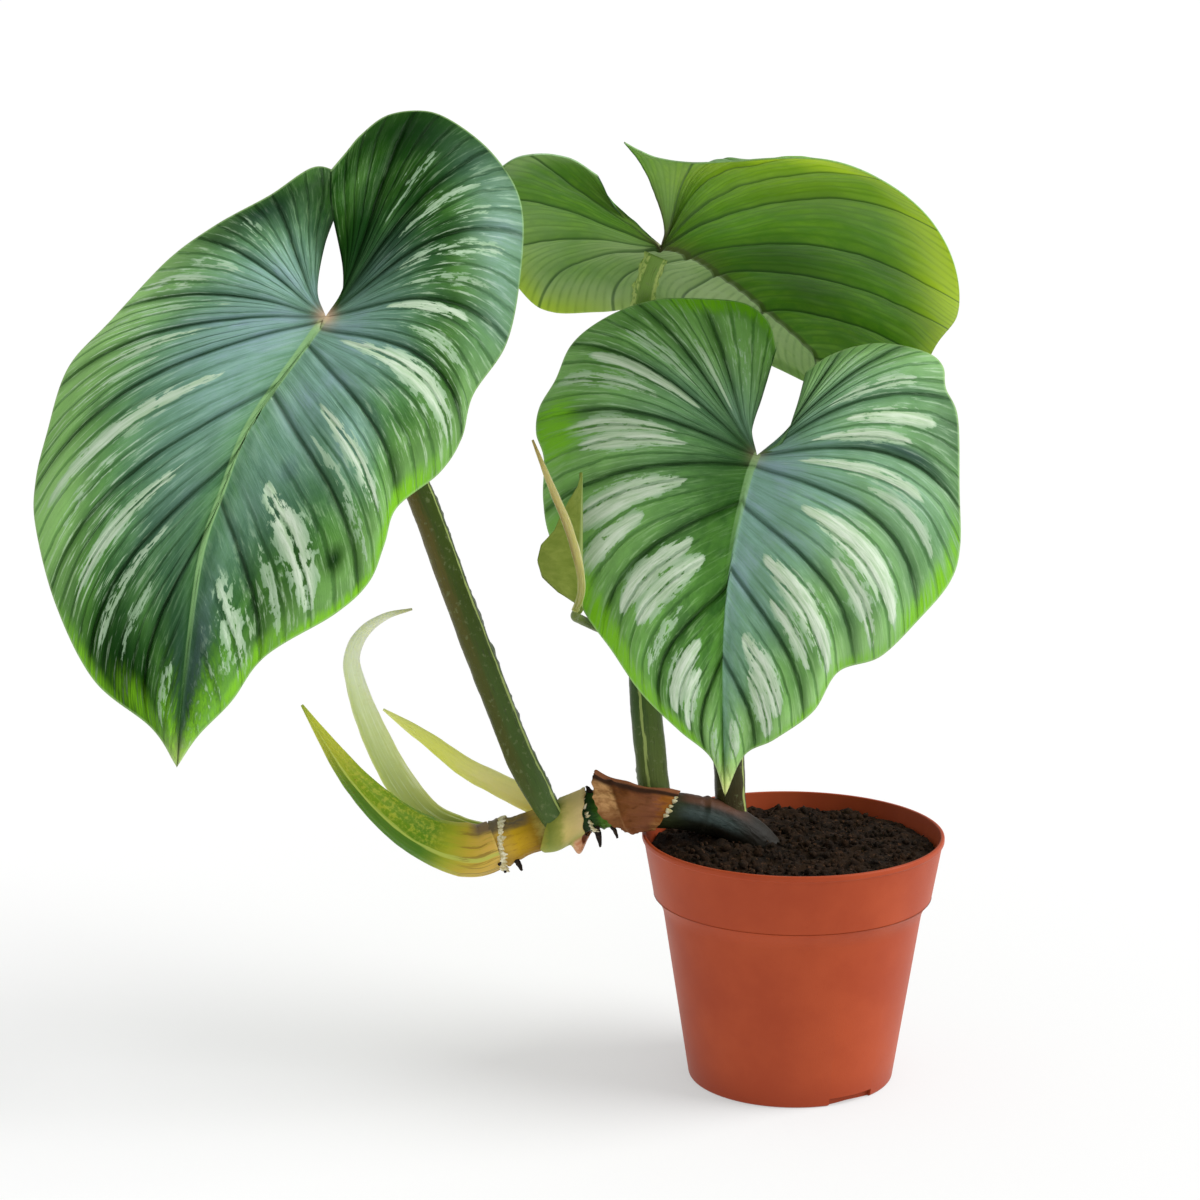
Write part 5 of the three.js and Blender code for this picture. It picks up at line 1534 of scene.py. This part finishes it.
# %% The lower face's finish
tree, shader, blade_under = new_finish("blade seen from below", 0.5)
place, reach = vein_space(tree)
fine = growth(tree, (place, 6.0), (reach, 7.0), 2.0)
leafy = tree.mix(tree.step(fine, 0.35, 0.7), linear(78, 136, 12), linear(106, 160, 26))
# A pale grey-green wash, partly the underside's own paler green and partly painted reflection
leafy = tree.mix(tree.times(tree.field("painted_sheen"), 0.85), leafy, linear(172, 198, 136))
leafy = tree.mix(tree.times(tree.field("deep"), 0.85), leafy, linear(44, 88, 6))
leafy = tree.mix(tree.field("yellow"), leafy, linear(186, 216, 40))
strip = tree.times(place, 2.0 * STRIPS)
fine_vein = tree.step(tree.math("PINGPONG", strip, 0.5), 0.3, 0.0)
fine_vein = tree.times(fine_vein, tree.step(fine, 0.35, 0.65, 0.1, 0.5))
leafy = tree.mix(fine_vein, leafy, linear(150, 180, 130), "MULTIPLY")
vein_line = tree.step(tree.field("vein"), 1.1, 0.3)
leafy = tree.mix(tree.times(vein_line, 0.75), leafy, linear(120, 150, 120), "MULTIPLY")
rib_line = tree.step(tree.field("rib"), 1.5, 0.8)
leafy = tree.mix(tree.times(rib_line, 0.75), leafy, linear(70, 92, 34))
leafy = tree.mix(tree.times(tree.field("brown"), 0.85), leafy, linear(74, 62, 36))
set_skin(tree, shader, leafy, fine, 0.4)
print("lower face:", blade_under.name)

# %% [markdown]
# Both halves of a blade share the points at the joint, along the midrib and at the tip, so the
# blade is one skin. Each point keeps its guides, and a map of vein places and reach carries the
# noise, because at a shared point the two halves need different places.

# %% The guides and the shared points
PINK_REACH = 4
PALE_TIP_REACH = 9


def blade_guides(name, side, grid):
    """For each point of a half, one number for each marking that the finish reads."""
    leaf = LEAVES[name]
    place, reach, flat = grid["place"], grid["reach"], grid["flat"]
    along_rib = np.clip(-flat[..., 1] / leaf["length"], 0, 1)
    guides = {
        "vein": grid["vein"],
        "rib": grid["rib"] / (1.6 - 0.9 * along_rib),
        "margin": grid["margin"],
        "silver": patch_field(SILVER[name][side], place, reach),
        "pale_rib": 0.85 * smooth((leaf["pale_rib"] + 0.2 - along_rib) / 0.4),
        "joint": leaf["pink"] * hump(np.linalg.norm(flat, axis=-1), PINK_REACH),
        "tip": leaf["pale_tip"] * hump(np.linalg.norm(flat - flat[-1, -1], axis=-1), PALE_TIP_REACH),
    }
    for kind in TONE_KINDS:
        guides[kind] = tone_field(kind, TONES[name][side], place, reach)
    return guides


def shared_points(numbers, count):
    """For each point, the one that stands for all that lie in its place."""
    same = np.arange(count)
    fan = LOBE_VEINS * COLUMNS
    left, right = numbers["left"], numbers["right"]
    same[left[: fan + 1, 0]] = left[0, 0]
    same[right[: fan + 1, 0]] = left[0, 0]
    same[right[fan:, 0]] = left[fan:, 0]
    same[left[-1]] = left[-1, 0]
    same[right[-1]] = left[-1, 0]
    same[same == left[fan, 0]] = left[0, 0]
    return same


# %% Faces and map of a blade
def blade_faces(numbers, same):
    """Faces of the upper layer, as the points' own numbers; shared corners are dropped."""
    faces = []
    for side in SIDES:
        table = numbers[side]
        for i in range(table.shape[0] - 1):
            for j in range(table.shape[1] - 1):
                corners = [table[i, j], table[i, j + 1], table[i + 1, j + 1], table[i + 1, j]]
                if side == "right":
                    corners.reverse()
                kept = []
                for corner in corners:
                    if same[corner] not in [same[other] for other in kept]:
                        kept.append(corner)
                if len(kept) > 2:
                    faces.append(kept)
    return faces


def map_veins(piece, map_of, own_faces, used, rim_faces):
    """Stores the vein place and reach of each corner: upper layer, lower layer, then rim."""
    origin = np.tile(used, 2)
    corners = [corner for face in own_faces for corner in face]
    corners += [corner for face in own_faces for corner in reversed(face)]
    corners += [origin[corner] for face in rim_faces for corner in face]
    layer = piece.data.uv_layers.new(name="vein_space")
    layer.data.foreach_set("uv", map_of[corners].astype(np.float32).ravel())


# %% Build the blades
def blade_pose(leaf):
    """The turn and the place of a blade's flat frame on the plant."""
    return np.array(
        Matrix.Translation(leaf["joint"])
        @ Matrix.Rotation(math.radians(leaf["facing"]), 4, "Z")
        @ Matrix.Rotation(math.radians(90 - leaf["lift"]), 4, "X")
        @ Matrix.Rotation(math.radians(leaf["roll"]), 4, "Z")
    )


def build_blade(name, finishes):
    """One closed blade in its place on the plant."""
    leaf = LEAVES[name]
    lines = blade_lines(leaf)
    flat, heights, map_of, fields, numbers = [], [], [], {}, {}
    count = 0
    for side in SIDES:
        grid = blade_grid(lines, leaf, side)
        upper, lower = blade_relief(grid, leaf, side)
        numbers[side] = np.arange(count, count + upper.size).reshape(upper.shape)
        count += upper.size
        flat.append(grid["flat"].reshape(-1, 2))
        heights.append(np.stack([upper.ravel(), lower.ravel()]))
        map_place = (grid["place"] + MAP_SHIFT[side]) / MAP_PLACES
        map_of.append(np.stack([map_place, grid["reach"]], axis=-1).reshape(-1, 2))
        for field, values in blade_guides(name, side, grid).items():
            fields.setdefault(field, []).append(np.broadcast_to(values, upper.shape).ravel())
    flat, heights, map_of = np.vstack(flat), np.hstack(heights), np.vstack(map_of)

    same = shared_points(numbers, count)
    used = np.unique(same)
    renumber = np.zeros(count, int)
    renumber[used] = np.arange(len(used))
    own_faces = blade_faces(numbers, same)
    faces = [tuple(renumber[same[face]].tolist()) for face in own_faces]
    upper_count = len(faces)
    faces = closed_sheet(faces, len(used))
    rim_faces = faces[2 * upper_count:]

    layers = np.vstack([np.column_stack([flat[used], height[used]]) for height in heights])
    pose = blade_pose(leaf)
    points = layers @ pose[:3, :3].T + pose[:3, 3]
    finish_of_face = [0] * upper_count + [1] * upper_count + [0] * len(rim_faces)
    piece = new_piece(f"{name}_blade", points, faces, finishes, finish_of_face)
    mark(piece, **{field: np.tile(np.concatenate(values)[used], 2) for field, values in fields.items()})
    map_veins(piece, map_of, own_faces, used, rim_faces)
    return piece


for name in LEAVES:
    standing_for(build_blade(name, [blade_upper, blade_under]), name)

# %% [markdown]
# ## The leaf sheaths
#
# Each new leaf grows out of a sheath. The green one is thick and closes the stem's end, the
# pale one is old and thin and curls over, and the yellow one stands behind the left stalk.
# All are tapering, slightly flattened horns with fine ribs.

# %% Sheath forms
SHEATH_SIDES = 48
SHEATH_STEPS = 150
SHEATHS = {
    "sheath_green": {
        "path": [
            (-128.6, -3, 104.2), (-136, -4.5, 102.2), (-151.7, -6, 105.6), (-168.6, -8, 115.6),
            (-187.4, -10, 135), (-200.9, -12, 155.4), (-209, -14, 169),
        ],
        "radii": [
            (10.7, 10.6), (11.8, 10.6), (10, 8.6), (8.5, 7), (7.2, 5.6), (5.8, 4.4), (4.2, 3.2),
            (2.4, 1.8), (0.6, 0.6),
        ],
        "keel": 0.14, "slot": "sheath_green",
    },
    "sheath_pale": {
        "path": [
            (-131, 10.5, 106), (-144, 10.5, 107.5), (-157, 9, 113.5), (-169.4, 8, 129.1),
            (-179.7, 6, 150.6), (-186.6, 4, 171), (-188.8, 2, 185.6), (-184.2, 0, 196.6),
            (-174.2, -2, 204.6), (-162.6, -3, 208.1),
        ],
        "radii": [
            (3.4, 1.6), (5.8, 1.7), (6.6, 1.7), (6.7, 1.7), (6.3, 1.7), (5.8, 1.7), (4.9, 1.6),
            (3.9, 1.5), (3, 1.3), (1.8, 1), (0.5, 0.5),
        ],
        "keel": 0, "slot": "sheath_pale",
    },
    "sheath_yellow": {
        "path": [
            (-108, 8, 117.5), (-115, 10.5, 121), (-126.3, 12, 126.4), (-141.4, 13, 134.4),
            (-156.5, 14, 145.8), (-169.4, 15, 154.6), (-176.7, 15.5, 159.6),
        ],
        "radii": [
            (5.4, 1.8), (5.4, 1.8), (5, 1.8), (4.6, 1.7), (4, 1.5), (3.2, 1.3), (2.2, 1), (0.5, 0.5),
        ],
        "keel": 0, "slot": "sheath_yellow",
    },
    "sheath_young": {
        "path": [
            (-93.4, -35, 214.5), (-91, -36.5, 222), (-91.3, -37, 232), (-96, -33, 249),
            (-103.5, -26, 266), (-111, -17, 283),
        ],
        "radii": [(1.5, 1), (1.6, 0.9), (1.8, 0.9), (1.8, 0.9), (1.6, 0.8), (1.1, 0.7), (0.5, 0.45)],
        "keel": 0, "slot": "sheath_pale",
    },
}


# %% [markdown]
# The sheaths are thin and let some light through, so their finishes scatter light inside.
# Streaks follow the growth, and each sheath's lower side is darkened with painted shade, which on
# the green sheath is also its own darker green below the keel. The green sheath also has a pale
# keel and a brown torn foot, which the number called keel turns on, and more freckles than the
# others.

# %% A sheath's finish
def sheath_finish(name, stops, streak_colour, streak_share, under_shade_colour, under_shade_share, freckles, keel=0):
    """A sheath's skin: colours from foot to tip, streaks, painted shade underneath, freckles, a keel."""
    tree, shader, finish = new_finish(name, 0.45, Subsurface_Weight=0.7, Subsurface_Scale=0.006)
    shader.inputs["Subsurface Radius"].default_value = (1, 1, 0.5)
    along, left, back = (tree.field(field) for field in ("along", "left", "back"))
    streak = growth(tree, (left, 8.0), (along, 5.0), back)
    wander = tree.stray(along, streak, 0.12)
    skin = tree.ramp(wander, stops)
    skin = tree.mix(tree.times(tree.step(streak, 0.5, 0.7), streak_share), skin, streak_colour)
    low = tree.stray(left, streak, 0.3)
    middle = tree.times(tree.step(along, 0.14, 0.34), tree.step(along, 0.9, 0.55))
    # The lower side is darkened as painted shade, and on the green sheath also by its own darker green
    under = tree.step(low, 0.1, 0.9 - 0.7 * keel)
    under = tree.times(tree.times(under, middle), under_shade_share)
    skin = tree.mix(under, skin, under_shade_colour)
    dots = mottling(tree, 560.0, 0.46, 0.64)
    dots = tree.times(dots, tree.times(tree.step(along, 0.16, 0.3), freckles))
    skin = tree.mix(tree.times(dots, tree.step(low, 0.2, -0.2)), skin, linear(192, 190, 62))
    specks = mottling(tree, 700.0, 0.64, 0.7)
    specks = tree.times(specks, tree.times(tree.step(along, 0.3, 0.6), freckles))
    skin = tree.mix(specks, skin, linear(124, 84, 30))
    ridge = tree.step(tree.math("ABSOLUTE", tree.minus(low, 0.08)), 0.1, 0.03)
    skin = tree.mix(tree.times(ridge, 0.75 * keel), skin, linear(190, 202, 96))
    jagged = tree.times(tree.step(streak, 0.56, 0.62), tree.step(along, 0.2, 0.12))
    skin = tree.mix(tree.times(jagged, 0.6 * keel), skin, linear(140, 96, 40))
    fold = tree.times(tree.step(low, -0.6, -0.85), tree.step(along, 0.14, 0.06))
    skin = tree.mix(tree.times(fold, 0.8 * keel), skin, linear(104, 84, 78))
    set_skin(tree, shader, skin, streak, 0.3)
    return finish


# %% The sheaths' colours, and their pieces
SHEATH_FINISHES = {
    "sheath_green": sheath_finish(
        "green sheath",
        [(0.0, linear(224, 184, 92)), (0.1, linear(196, 170, 56)), (0.19, linear(166, 170, 36)),
         (0.28, linear(92, 136, 2)), (0.6, linear(124, 156, 12)), (0.8, linear(180, 184, 56)),
         (0.92, linear(176, 184, 60)), (1.0, linear(120, 140, 60))],
        linear(178, 190, 60), 0.3, linear(66, 114, 2), 0.8, 0.55, 1,
    ),
    "sheath_pale": sheath_finish(
        "pale sheath",
        [(0.0, linear(138, 160, 66)), (0.22, linear(196, 204, 128)), (0.5, linear(212, 224, 166)),
         (0.7, linear(226, 238, 204)), (0.92, linear(226, 234, 204)), (1.0, linear(150, 150, 120))],
        linear(238, 246, 220), 0.7, linear(176, 192, 112), 0.5, 0.1,
    ),
    "sheath_yellow": sheath_finish(
        "yellow sheath",
        [(0.0, linear(244, 232, 164)), (0.35, linear(246, 238, 168)), (0.6, linear(238, 242, 130)),
         (1.0, linear(232, 242, 150))],
        linear(238, 236, 170), 0.5, linear(206, 214, 90), 0.4, 0.05,
    ),
    "sheath_young": sheath_finish(
        "young sheath",
        [(0.0, linear(120, 130, 60)), (0.3, linear(184, 176, 112)), (0.8, linear(196, 178, 124)),
         (1.0, linear(120, 88, 56))],
        linear(226, 214, 170), 0.7, linear(122, 96, 54), 0.7, 0.2,
    ),
}

for name, sheath in SHEATHS.items():
    keel = sheath["keel"]
    thickness = min(pair[1] for pair in sheath["radii"][:-1])
    piece = new_tube(
        f"{name}_skin", sheath["path"], sheath["radii"], SHEATH_FINISHES[name], SHEATH_SIDES, SHEATH_STEPS,
        lambda angle, t: 1 + keel * np.maximum(0, -np.sin(angle)) ** 6,
        lambda rings, angle, t: (
            0.12 * np.sin(13 * angle + 3 * t) + 0.2 * lumps(rings, 7, 12)
        ) * smooth((1 - t) * 4) * min(1, thickness),
    )
    standing_for(piece, name)

# %% [markdown]
# ## The dry sheath
#
# An old sheath has dried to brown paper round the stem, where it crosses the rim. It is a
# half tube, long at the top and short below. Its left end turns outward as a tan lapel, and
# a dark fold runs along the top.

# %% The dry sheath's form
DRY_RIGHT = np.array([-47, 0.6, 118.2])
DRY_LEFT = np.array([-86, -2, 122.8])
DRY_RADII = [9.2, 9.4, 10.2, 11.6, 13.4]
# The start, the end and the fold of the turned-out lapel, from below to the top
DRY_START = [0.36, 0.33, 0.28, 0.22, 0.15, 0.08, 0.04]
DRY_END = [0.58, 0.62, 0.67, 0.74, 0.85, 0.94, 0.98, 0.99, 1, 1, 0.98]
DRY_FOLD = [0.55, 0.62, 0.68, 0.74, 0.8, 0.9]
DRY_ROWS = 90
DRY_COLUMNS = 90
DRY_THICKNESS = 0.6
DRY_FROM_DEGREES = -88
DRY_TO_DEGREES = 84
# Each torn fibre: its column on the sheath's right edge, and its radius
DRY_FIBRES = [(46, 1.1), (52, 1.3), (59, 0.8), (67, 1), (72, 0.7)]


def dry_sheath_grid():
    """Points of the half tube; rows run along the stem and columns round it."""
    share, c = even_grid(DRY_ROWS, DRY_COLUMNS)
    angle = np.radians(DRY_FROM_DEGREES + (DRY_TO_DEGREES - DRY_FROM_DEGREES) * c)
    tear = 0.012 * np.sin(11 * c) + 0.01 * np.sin(41 * c) + 0.006 * np.sin(97 * c + 1)
    t = spread(DRY_START, c) + (spread(DRY_END, c) + tear - spread(DRY_START, c)) * share
    centre = DRY_RIGHT + (DRY_LEFT - DRY_RIGHT) * t[..., None]
    fold = t - spread(DRY_FOLD, c)
    lapel = smooth(fold * 25 + 0.5)
    curl = 1.4 * smooth((t - 0.75) * 4) * c + 0.35 * np.sin(14 * t + 5 * c) + 1.5 * lapel * smooth(fold * 5)
    crease = 1.1 * hump(fold + 0.03, 0.035) * smooth((1 - c) * 8)
    top_fold = 1.0 * hump(c - 0.84, 0.05) - 0.8 * hump(c - 0.74, 0.05)
    radius = spread(DRY_RADII, t) + curl + crease + top_fold * smooth(t * 3)
    under = np.where(c < 0.4, -0.4 * (1 - c / 0.4) * t, 0)
    folds = 0.3 * np.sin(34 * c + 5 * t) + 0.12 * np.sin(83 * c - 7 * t)
    radius = radius + folds * smooth(t * 3)
    points = centre + np.stack(
        [0 * t, -np.cos(angle) * radius, np.sin(angle) * (radius + under)], axis=-1
    )
    return points, t, c, lapel


grid, t, c, lapel = dry_sheath_grid()
grid = grid + 0.5 * lumps(grid, 4, 13)[..., None] * (0, -1, 0.6)
points, faces = thick_sheet(grid, DRY_THICKNESS)
paper_count = len(faces)
dry_parts = [points]

# Pale torn fibres stand along the right edge, where the sheath sat on its node
for k, thick in DRY_FIBRES:
    foot = grid[1, k]
    tip = foot + (1.9 * thick, 0, 0) + 0.8 * (foot - (foot[0], DRY_RIGHT[1], DRY_RIGHT[2])) / 9
    radii = [thick, thick, 0.7 * thick, 0.2]
    add_tube(dry_parts, faces, [foot, (foot + tip) / 2, tip], radii, CONE_SIDES, CONE_STEPS)
print("dry sheath with", len(faces), "faces")

# %% The dry sheath's finish
tree, shader, dry_paper = new_finish("dry papery sheath", 0.78, 0.15)
around, along, turned_out = (tree.field(field) for field in ("around", "along", "lapel"))
streak = growth(tree, (around, 16.0), (along, 7.0), 3.0)
wander = tree.stray(along, streak, 0.5)
paper = tree.ramp(wander, [
    (0.0, linear(176, 112, 42)), (0.2, linear(160, 96, 34)), (0.34, linear(136, 82, 54)),
    (0.55, linear(132, 80, 46)), (0.7, linear(114, 66, 26)), (0.85, linear(92, 52, 22)),
    (1.0, linear(96, 56, 30)),
])
orange = tree.times(tree.step(along, 0.42, 0.3), tree.step(around, 0.5, 0.3))
paper = tree.mix(tree.times(orange, tree.step(streak, 0.35, 0.55)), paper, linear(206, 146, 84))
tan = tree.mix(tree.step(streak, 0.35, 0.65), linear(150, 106, 62), linear(206, 158, 104))
paper = tree.mix(turned_out, paper, tan)
low_lapel = tree.times(turned_out, tree.step(around, 0.62, 0.42))
paper = tree.mix(tree.times(low_lapel, 0.85), paper, linear(116, 68, 32))
paper = tree.mix(tree.step(around, 0.79, 0.83), paper, linear(58, 32, 16))
paper = tree.mix(tree.step(around, 0.86, 0.92), paper, linear(150, 92, 60))
brown = tree.times(tree.step(streak, 0.58, 0.7), 0.5)
paper = tree.mix(brown, paper, linear(150, 120, 110), "MULTIPLY")
set_skin(tree, shader, paper, streak, 0.7)

finish_of_face = [0] * paper_count + [1] * (len(faces) - paper_count)
dry = new_piece("dry_sheath", np.vstack(dry_parts), faces, [dry_paper, fibre_finish], finish_of_face)
mark(dry, along=np.tile(t.ravel(), 2), around=np.tile(c.ravel(), 2), lapel=np.tile(lapel.ravel(), 2))
standing_for(dry, "sheath_dry")

# %% [markdown]
# ## The young shoot
#
# Beside the front leaf's edge a young leaf is still folded along its midrib, on a thin stalk
# of its own, with a thin pointed sheath in front. The folded blade is a sheet whose two
# halves open by a few degrees.

# %% Young stalk
YOUNG_STALK = [
    (-60.5, 12, 121), (-62, 19.8, 131), (-63.5, 21, 148), (-66, 24.8, 168), (-73, 23, 186),
    (-80, 8, 195.5), (-86, -5, 201.5), (-91, -16, 206.5), (-93.5, -26, 210.5), (-91.8, -31.5, 214.5),
]
YOUNG_STALK_RADII = [2.6, 2.4, 2.2, 2.1, 2, 2, 2, 2, 1.8]
YOUNG_STALK_SIDES = 24
YOUNG_STALK_STEPS = 160
young_stalk = new_tube(
    "young_stalk_skin", YOUNG_STALK, YOUNG_STALK_RADII, young_stalk_finish,
    YOUNG_STALK_SIDES, YOUNG_STALK_STEPS,
)
standing_for(young_stalk, "young_stalk")

# %% Folded young leaf
YOUNG_FOOT = np.array([-90.5, -32, 215.5])
YOUNG_TIP = np.array([-90.7, -10, 268])
YOUNG_BELLY = [0, 0.55, 0.9, 1, 0.92, 0.62, 0.48, 0.3, 0.1, 0]
YOUNG_WIDTH = 18.5
YOUNG_OPENING_DEGREES = 13
YOUNG_THICKNESS = 0.8
YOUNG_ROWS = 100
YOUNG_COLUMNS = 60

t, c = even_grid(YOUNG_ROWS, YOUNG_COLUMNS, -1)
axis = YOUNG_TIP - YOUNG_FOOT
to_left = np.array([-1.0, 0, 0])
to_front = np.cross(axis, to_left)
to_front *= -np.sign(to_front[1]) / np.linalg.norm(to_front)
reach = np.maximum(spread(YOUNG_BELLY, t), 0.04) * YOUNG_WIDTH * np.abs(c)
opening = math.tan(math.radians(YOUNG_OPENING_DEGREES)) * reach * np.sign(c) * (1 - 0.35 * np.abs(c))
curl = 2.5 * np.sin(math.pi * t) + 0.6 * np.sin(9 * t) * np.abs(c)
veins = 0.12 * np.sin(46 * t - 5 * np.abs(c)) * np.abs(c)
grid = (
    YOUNG_FOOT + axis * t[..., None] + to_left * reach[..., None]
    + to_front * (opening + curl + veins)[..., None]
)
points, faces = thick_sheet(grid, YOUNG_THICKNESS)

tree, shader, young_finish = new_finish("folded young leaf", 0.45)
across = tree.field("across")
streak = growth(tree, (tree.field("along"), 16.0), (across, 2.5), 6.0)
olive = tree.mix(tree.step(streak, 0.3, 0.75), linear(112, 130, 44), linear(134, 148, 62))
olive = tree.mix(tree.step(tree.math("ABSOLUTE", across), 0.12, 0.0), olive, linear(150, 168, 96))
set_skin(tree, shader, olive, streak, 0.3)

young_leaf = new_piece("young_leaf_blade", points, faces, [young_finish])
mark(young_leaf, along=np.tile(t.ravel(), 2), across=np.tile(c.ravel(), 2))
standing_for(young_leaf, "young_leaf")
